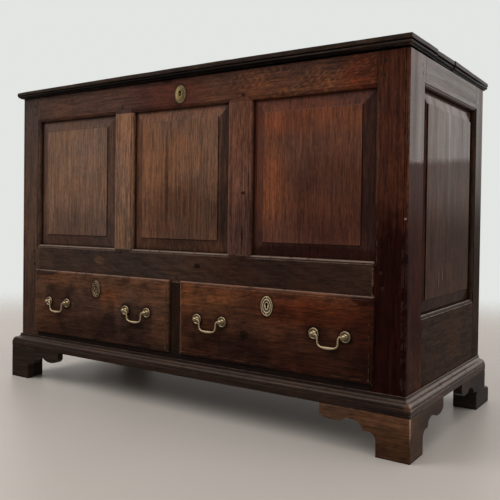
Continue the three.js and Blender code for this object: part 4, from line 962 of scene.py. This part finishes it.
def makePlinth():
    low, high = spanOf("plinth_moulding")
    reach = high.x - endFace
    profile = plinthProfile(low, high, reach)
    cornerX, cornerY = endFace + reach * 0.8, frontFace - reach * 0.8
    corner = [mark(cornerX, low.z + 22, (12, 12, 9), (3.0, 2.9, 2.9), 1.0, pitch=90, y=cornerY)]
    looks = {
        # front: a dark tone, partly the moulding's dark finish, partly painted shade
        "front": {**level, "tone": (42, 28, 21), "worn": (110, 86, 70), "wear": 0.8, "marks": corner,
                  "litEdge": 0.3, "litTone": (92, 74, 64)},
        "left": {**endLevel, "tone": (64, 48, 40), "sheenLow": 0.4},
        "right": {**endLevel, "tone": (70, 53, 45), "sheenLow": 0.75, "marks": corner, "litEdge": 0.3,
                  "litTone": (158, 148, 142)},
    }
    for index, (part, look) in enumerate(looks.items()):
        isFront = part == "front"
        side = -1 if part == "left" else 1
        length = 2 * endFace if isFront else high.y - frontFace
        steps = round(length / plinthSet["spacing"])
        rings = []
        for k in range(steps + 1):
            ring = []
            for row, (out, z) in enumerate(profile):
                if isFront:
                    x, y = lerp(-endFace - out, endFace + out, k / steps), frontFace - out
                else:
                    x, y = side * (endFace + out), lerp(frontFace - out, high.y, k / steps)
                wear = 0 if k in (0, steps) else abs(waver(x, y, z, 0.7, 34))
                if isFront and row in plinthSet["nicks"]:
                    wear += max(0, noise.noise(Vector((x / 17, z / 30, 5.1))) - 0.45) * 5
                if row in (0, len(profile) - 1):
                    wear = 0
                ring.append((x, y + wear, z) if isFront else (x - side * wear, y, z))
            rings.append(ring)
        material = oak(f"plinth_{part}_oak", seed=80 + index, **look)
        addPiece(f"plinth_{part}_moulding", loft(rings), material, "case", 30,
                 "plinth_moulding" if isFront else None)


makeLid()
makePlinth()
print("lid and plinth made")


# turned and cast brass
def turned(profile, x, z, face, sides=40, start=0):
    # rings round an axis that points out of the front; profile is (radius, distance out from face)
    rings = []
    for radius, out in profile:
        centre = Vector((x, face - out, z))
        rings.append(circle(centre, Vector((1, 0, 0)), Vector((0, 0, 1)), [radius] * sides, start))
    return loft(rings)


postSet = {
    "back": -30.3,
    "nut": 6,
    "nutThickness": 4,
    "shank": 3.2,
    # rose with a rolled rim and a ring, then neck
    "rose": ((12.6, 0.3), (13.0, 0.8), (13.0, 1.6), (12.5, 2.8), (11.9, 3.3), (11.2, 3.4), (10.6, 3.1),
             (10.0, 2.2), (9.4, 1.6), (8.2, 1.3), (7.2, 1.4), (6.5, 2.2), (5.9, 3.2), (5.2, 3.6), (4.6, 3.9),
             (4.1, 4.4), (4.0, 5.0)),
    "knob": 6,
    "knobFrom": -0.84,  # angle at which the ball leaves the neck
    "knobSteps": 12,
    "reach": 9.5,
}
roseBrass = brass("rose_brass", 31, 0.86, dull=0.5, hollow=(drawerFace, 1.8))


def makePost(node, body):
    middle = middleOf(node)
    shank, knob, nutTop = postSet["shank"], postSet["knob"], postSet["back"] - postSet["nutThickness"]
    profile = [(shank * 0.8, nutTop - 2), (shank, nutTop - 1.4), (shank, 0.3), *postSet["rose"]]
    for k in range(postSet["knobSteps"]):
        turn = lerp(postSet["knobFrom"], pi / 2, (k + 1) / postSet["knobSteps"])
        profile.append((max(0.25, knob * cos(turn)), postSet["reach"] + knob * sin(turn)))
    nut = [(postSet["nut"], out) for out in (nutTop, postSet["back"])]
    nutTurn = 0.3 + (middle.x % 7) * 0.2
    parts = [turned(profile, middle.x, middle.z, drawerFace),
             turned(nut, middle.x, middle.z, drawerFace, 4, nutTurn)]
    addPiece(node + "_turned", joinLists(parts), roseBrass, body, 40, node)


bailSet = {
    "drop": 28,
    "thin": 2.0,
    "thick": 3.1,
    "seat": 2,
    "steps": 88,
    "sides": 14,
    "grip": 0.7,  # lower than this share of the drop
    "swell": (0.5, 0.06),  # from thin to thick, as shares of half the post spacing
    "collar": 0.2,
    "groove": 0.13,
    # half of the swan neck, as shares of half the post spacing and of the drop
    "route": ((0.86, 0.0), (0.76, -0.02), (0.69, -0.12), (0.66, -0.32), (0.65, -0.55), (0.62, -0.74),
              (0.54, -0.87), (0.4, -0.955), (0.2, -0.99)),
}


def smoothRoute(route, steps):
    # a curve through given points, evenly stepped
    spline = []
    for near in zip(route[:1] + route, route, route[1:], route[2:] + route[-1:]):
        for step in range(12):
            t = step / 12
            weights = (-t + 2 * t ** 2 - t ** 3, 2 - 5 * t ** 2 + 3 * t ** 3, t + 4 * t ** 2 - 3 * t ** 3,
                       t ** 3 - t ** 2)
            spline.append(sum((point * weight / 2 for point, weight in zip(near, weights)), Vector()))
    spline.append(route[-1])
    lengths = [0]
    for one, other in zip(spline, spline[1:]):
        lengths.append(lengths[-1] + (other - one).length)
    places, at = [], 0
    for step in range(steps + 1):
        goal = lengths[-1] * step / steps
        while at < len(spline) - 2 and lengths[at + 1] < goal:
            at += 1
        share = (goal - lengths[at]) / max(1e-6, lengths[at + 1] - lengths[at])
        places.append(spline[at].lerp(spline[at + 1], min(1, share)))
    return places


def makeBail(node):
    posts = [middleOf(f"{node}_{end}_post") for end in hands]
    centre, half = (posts[0] + posts[1]) / 2, (posts[1].x - posts[0].x) / 2
    centre.y = drawerFace - postSet["reach"]
    drop, seat = bailSet["drop"] - 0.2, half - bailSet["seat"]
    right = [Vector((across * half, 0, down * drop)) for across, down in bailSet["route"]]
    left = [Vector((-point.x, 0, point.z)) for point in right]
    route = [Vector((-seat, 0, 0)), *left, Vector((0, 0, -drop)), *reversed(right), Vector((seat, 0, 0))]
    places = smoothRoute(route, bailSet["steps"])
    rings = []
    for k, place in enumerate(places):
        ahead = (places[min(k + 1, len(places) - 1)] - places[max(k - 1, 0)]).normalized()
        radius = bailSet["thin"]
        if place.z < -bailSet["grip"] * drop:  # it swells to the middle, past a collar and a groove
            away = abs(place.x)
            swell = smoothStep(away / half, *bailSet["swell"])
            collar = max(0, 1 - abs(away - bailSet["collar"] * half) / 1.1)
            groove = max(0, 1 - abs(away - bailSet["groove"] * half))
            radius = lerp(radius, bailSet["thick"], swell) + 0.4 * collar * (1 - swell) - 0.35 * groove
        outward = Vector((-ahead.z, 0, ahead.x))
        rings.append(circle(centre + place, outward, Vector((0, 1, 0)), [radius] * bailSet["sides"]))
    addPiece(node + "_cast", loft(rings), metalBrass, node, 50, node)


# escutcheons: an oval plate round a keyhole that lies above its middle
plateSet = {
    "sides": 96,
    "radius": 3.8,  # of the round of the keyhole
    "slot": 2.3,  # half width
    "slotLength": 10.5,
    "rise": 4.5,
    "inner": 0.44,  # share of the oval where the plate starts to close on the keyhole
    "pin": ((1.6, 1.2), (1.6, 1.8), (1.2, 2.2), (0.6, 2.4), (0.1, 2.4)),
}
# a domed plate with a line cut inside its rim
domedPlate = ((1.0, 0.3), (1.0, 0.7), (0.98, 1.0), (0.94, 1.2), (0.91, 1.1), (0.89, 0.9), (0.87, 1.1),
              (0.8, 1.5), (0.7, 1.85), (0.58, 2.2), (0.46, 2.45), (0.3, 2.6), (0.14, 2.6), (0.04, 2.3),
              (0.0, 1.9), (0.0, 0.5))
ringedPlate = ((1.0, 0.3), (1.0, 0.9), (0.985, 1.6), (0.955, 1.9), (0.925, 1.8), (0.9, 0.8), (0.84, 0.5),
               (0.76, 0.5), (0.73, 1.0), (0.705, 1.8), (0.665, 2.0), (0.625, 1.8), (0.6, 1.0), (0.56, 0.5),
               (0.5, 0.5), (0.42, 0.5), (0.35, 0.9), (0.27, 1.7), (0.2, 1.9), (0.12, 1.8), (0.04, 1.4),
               (0.0, 1.0), (0.0, 0.5))


def keyholeReach(angle):  # from the keyhole's centre to its edge
    across, down = abs(sin(angle)), -cos(angle)
    if down <= 0:
        return plateSet["radius"]
    alongSlot = min(plateSet["slot"] / max(across, 1e-9), plateSet["slotLength"] / down)
    return max(plateSet["radius"], alongSlot)


def ovalReach(angle, halfWidth, halfHeight, share):
    # from the keyhole's centre to an oval round the plate's middle
    across, up = sin(angle), cos(angle)
    a = (across / halfWidth) ** 2 + (up / halfHeight) ** 2
    b = plateSet["rise"] * up / halfHeight ** 2
    c = (plateSet["rise"] / halfHeight) ** 2 - share ** 2
    return (-b + (b * b - a * c) ** 0.5) / a


def makePlate(node, body, plan, material):
    low, high = spanOf(node)
    middle, half = (low + high) / 2, (high - low) / 2
    face, inner, sides = high.y + 0.3, plateSet["inner"], plateSet["sides"]
    slotTurn = atan2(plateSet["slot"], plateSet["slotLength"])
    angles = sorted([2 * pi * k / sides for k in range(sides)] + [pi - slotTurn, pi + slotTurn])
    rings = []
    for share, out in plan:
        ring = []
        for angle in angles:
            reach = ovalReach(angle, half.x, half.z, max(share, inner))
            if share < inner:
                reach = lerp(keyholeReach(angle), reach, share / inner)
            z = middle.z + plateSet["rise"] + reach * cos(angle)
            ring.append((middle.x + reach * sin(angle), face - out, z))
        rings.append(ring)
    parts = [loft(rings, capped=False)]
    for side in (-1, 1):
        parts.append(turned(plateSet["pin"], middle.x, middle.z + side * (half.z - 3.4), face, 16))
    addPiece(node + "_cast", joinLists(parts), material, body, 38, node)


def makeBrasses():
    for body, seed, metal, dull in (("left_drawer", 11, 0.7, 0.95), ("right_drawer", 17, 0.45, 0.1)):
        for place in hands:
            for end in hands:
                makePost(f"{body}_{place}_bail_{end}_post", body)
            makeBail(f"{body}_{place}_bail")
        hollow = (spanOf(f"{body}_escutcheon")[1].y, 0.85)
        plateBrass = brass(f"{body}_plate_brass", seed, metal, 0.36, dull, hollow)
        makePlate(f"{body}_escutcheon", body, ringedPlate, plateBrass)
    hollow = (spanOf("chest_escutcheon")[1].y, 0.85)
    chestBrass = brass("chest_plate_brass", 23, 0.92, 0.2, 0.5, hollow, (240, 214, 150))
    makePlate("chest_escutcheon", "case", domedPlate, chestBrass)


makeBrasses()
print("brasses made")


# pegs, nails and screws; rows are (share of the radius, height above the wood)
pegSet = {"radius": 4.4, "sides": 9, "inset": 56, "rows": ((1, -1.5), (1, 0.1), (0.86, 0.2125), (0.4, 0.25))}
nailSet = {"radius": 3.4, "sides": 10, "inset": 14, "rows": ((1, -1.0), (1.05, 0.5), (0.7, 0.9), (0.2, 1.0))}
screwSet = {"radius": 4.0, "proud": 0.5, "sunk": -0.8, "slot": 0.55, "inset": 8}
facings = {  # rightward, upward and outward
    "front": ((1, 0, 0), (0, 0, 1), (0, -1, 0)),
    "rear": ((-1, 0, 0), (0, 0, 1), (0, 1, 0)),
    "right": ((0, 1, 0), (0, 0, 1), (1, 0, 0)),
    "left": ((0, -1, 0), (0, 0, 1), (-1, 0, 0)),
    "under": ((1, 0, 0), (0, 1, 0), (0, 0, -1)),
}


def headOf(place, facing, rows, start=0):  # rows of height and reaches
    right, up, out = (Vector(axis) for axis in facings[facing])
    return loft([circle(Vector(place) + out * lift, right, up, reaches, start) for lift, reaches in rows])


def peg(place, facing, draw):  # riven from a square, so its head is an uneven polygon
    start = draw.uniform(0, pi)
    reaches = [pegSet["radius"] * draw.uniform(0.86, 1.08) for side in range(pegSet["sides"])]
    rows = [(lift, [reach * share for reach in reaches]) for share, lift in pegSet["rows"]]
    return headOf(place, facing, rows, start)


def nailHead(place, facing, draw):
    rows = []
    for share, lift in nailSet["rows"]:
        radius = nailSet["radius"] * share
        rows.append((lift, [radius * draw.uniform(0.9, 1.08) for side in range(nailSet["sides"])]))
    return headOf(place, facing, rows)


def screwHead(place, facing, draw):  # a flat head with a slot sunk across it
    right, up, out = (Vector(axis) for axis in facings[facing])
    angle = draw.uniform(0, pi)
    one = right * cos(angle) + up * sin(angle)
    other = up * cos(angle) - right * sin(angle)
    radius, proud, sunk, slot = (screwSet[key] for key in ("radius", "proud", "sunk", "slot"))
    turns = [lerp(-pi / 2, pi / 2, k / 12) for k in range(13)]
    arc = [(radius * sin(turn), max(slot, radius * cos(turn))) for turn in turns]
    arc += [(radius * 0.99, slot), (-radius * 0.99, slot)]
    parts = []
    for side in (-1, 1):
        rings = []
        for shrink, lift in ((1, sunk), (1, proud * 0.6), (0.9, proud)):
            middle = Vector(place) + out * lift
            rings.append([middle + one * a * shrink + other * side * lerp(slot, b, shrink) for a, b in arc])
        parts.append(loft(rings))
    base = [(lift, [radius * 0.98] * 24) for lift in (sunk, proud * 0.15)]
    return joinLists([*parts, headOf(place, facing, base, angle)])


def addHeads(name, heads, body):
    addPiece(name, joinLists(heads), metalIron, body, 40)


def makePegs():
    draw = random.Random(5)
    muntins = [middleOf(f"{hand}_front_muntin").x for hand in hands]
    frontSpots = [(side * (endFace - pegSet["inset"]), z) for side in (-1, 1) for z in (808, 836, 353, 388)]
    frontSpots += [(x, z) for x in (muntins[0] - 6, muntins[1] + 11) for z in (798, 399)] + [(2, 341)]
    low, high = spanOf("right_side_panel")
    endSpots = [(low.y - 8, 818), (low.y - 11, 838), (high.y + 6, 816), (high.y + 8, 837), (low.y - 20, 250),
                (low.y - 16, 165), (high.y + 12, 242), (high.y + 10, 160)]
    heads = []
    for x, z in frontSpots:
        heads.append(peg((x + draw.uniform(-2, 2), frontFace, z + draw.uniform(-2, 2)), "front", draw))
    for side, facing in ((-1, "left"), (1, "right")):
        for y, z in endSpots:
            heads.append(peg((side * endFace, y, z + draw.uniform(-2, 2)), facing, draw))
    pegOak = oak("peg_oak", seed=90, **upright, tone=(44, 28, 22), sheen=0.05, wear=0)
    addPiece("joint_pegs", joinLists(heads), pegOak, "case", 30)


def makeBackNails():
    draw = random.Random(8)
    low, high = spanOf("back_boards")
    heads = []
    for side in (-1, 1):
        for k in range(6):
            z = lerp(low.z + 40, high.z - 60, k / 5) + draw.uniform(-6, 6)
            heads.append(nailHead((side * (high.x - nailSet["inset"]), rearFace, z), "rear", draw))
    for k in range(5):
        x = lerp(low.x + 130, high.x - 130, k / 4) + draw.uniform(-9, 9)
        heads.append(nailHead((x, rearFace, low.z + 16), "rear", draw))
    addHeads("back_nails", heads, "case")


def makeHingeNails():
    draw = random.Random(12)
    for hand in hands:
        lidLow, lidHigh = spanOf(f"{hand}_hinge_lid_strap")
        caseLow, caseHigh = spanOf(f"{hand}_hinge_case_strap")
        lidSpots, caseSpots = [], []
        for k, shift in enumerate((-7, 7, -7)):
            x = (lidLow.x + lidHigh.x) / 2 + shift
            lidSpots.append((x, lerp(lidLow.y + 14, lidHigh.y - 50, k / 2), lidHigh.z - 2.2))
            caseSpots.append((x, rearFace + 2.5, lerp(caseLow.z + 12, caseHigh.z - 34, k / 2)))
        addHeads(f"{hand}_lid_strap_nails", [nailHead(spot, "under", draw) for spot in lidSpots], "lid")
        addHeads(f"{hand}_case_strap_nails", [nailHead(spot, "rear", draw) for spot in caseSpots], "case")


def makeLockScrews():
    draw = random.Random(21)
    for lock, body in (("chest", "case"), ("left_drawer", "left_drawer"), ("right_drawer", "right_drawer")):
        low, high = spanOf(f"{lock}_lock_case")
        inset = Vector((screwSet["inset"], 0, screwSet["inset"]))
        low, high = low + inset, high - inset
        spots = [(x, high.y, z) for x in (low.x, high.x) for z in (low.z, high.z)]
        addHeads(f"{lock}_lock_screws", [screwHead(spot, "rear", draw) for spot in spots], body)


makePegs()
makeBackNails()
makeHingeNails()
makeLockScrews()
print("pegs, nails and screws made")
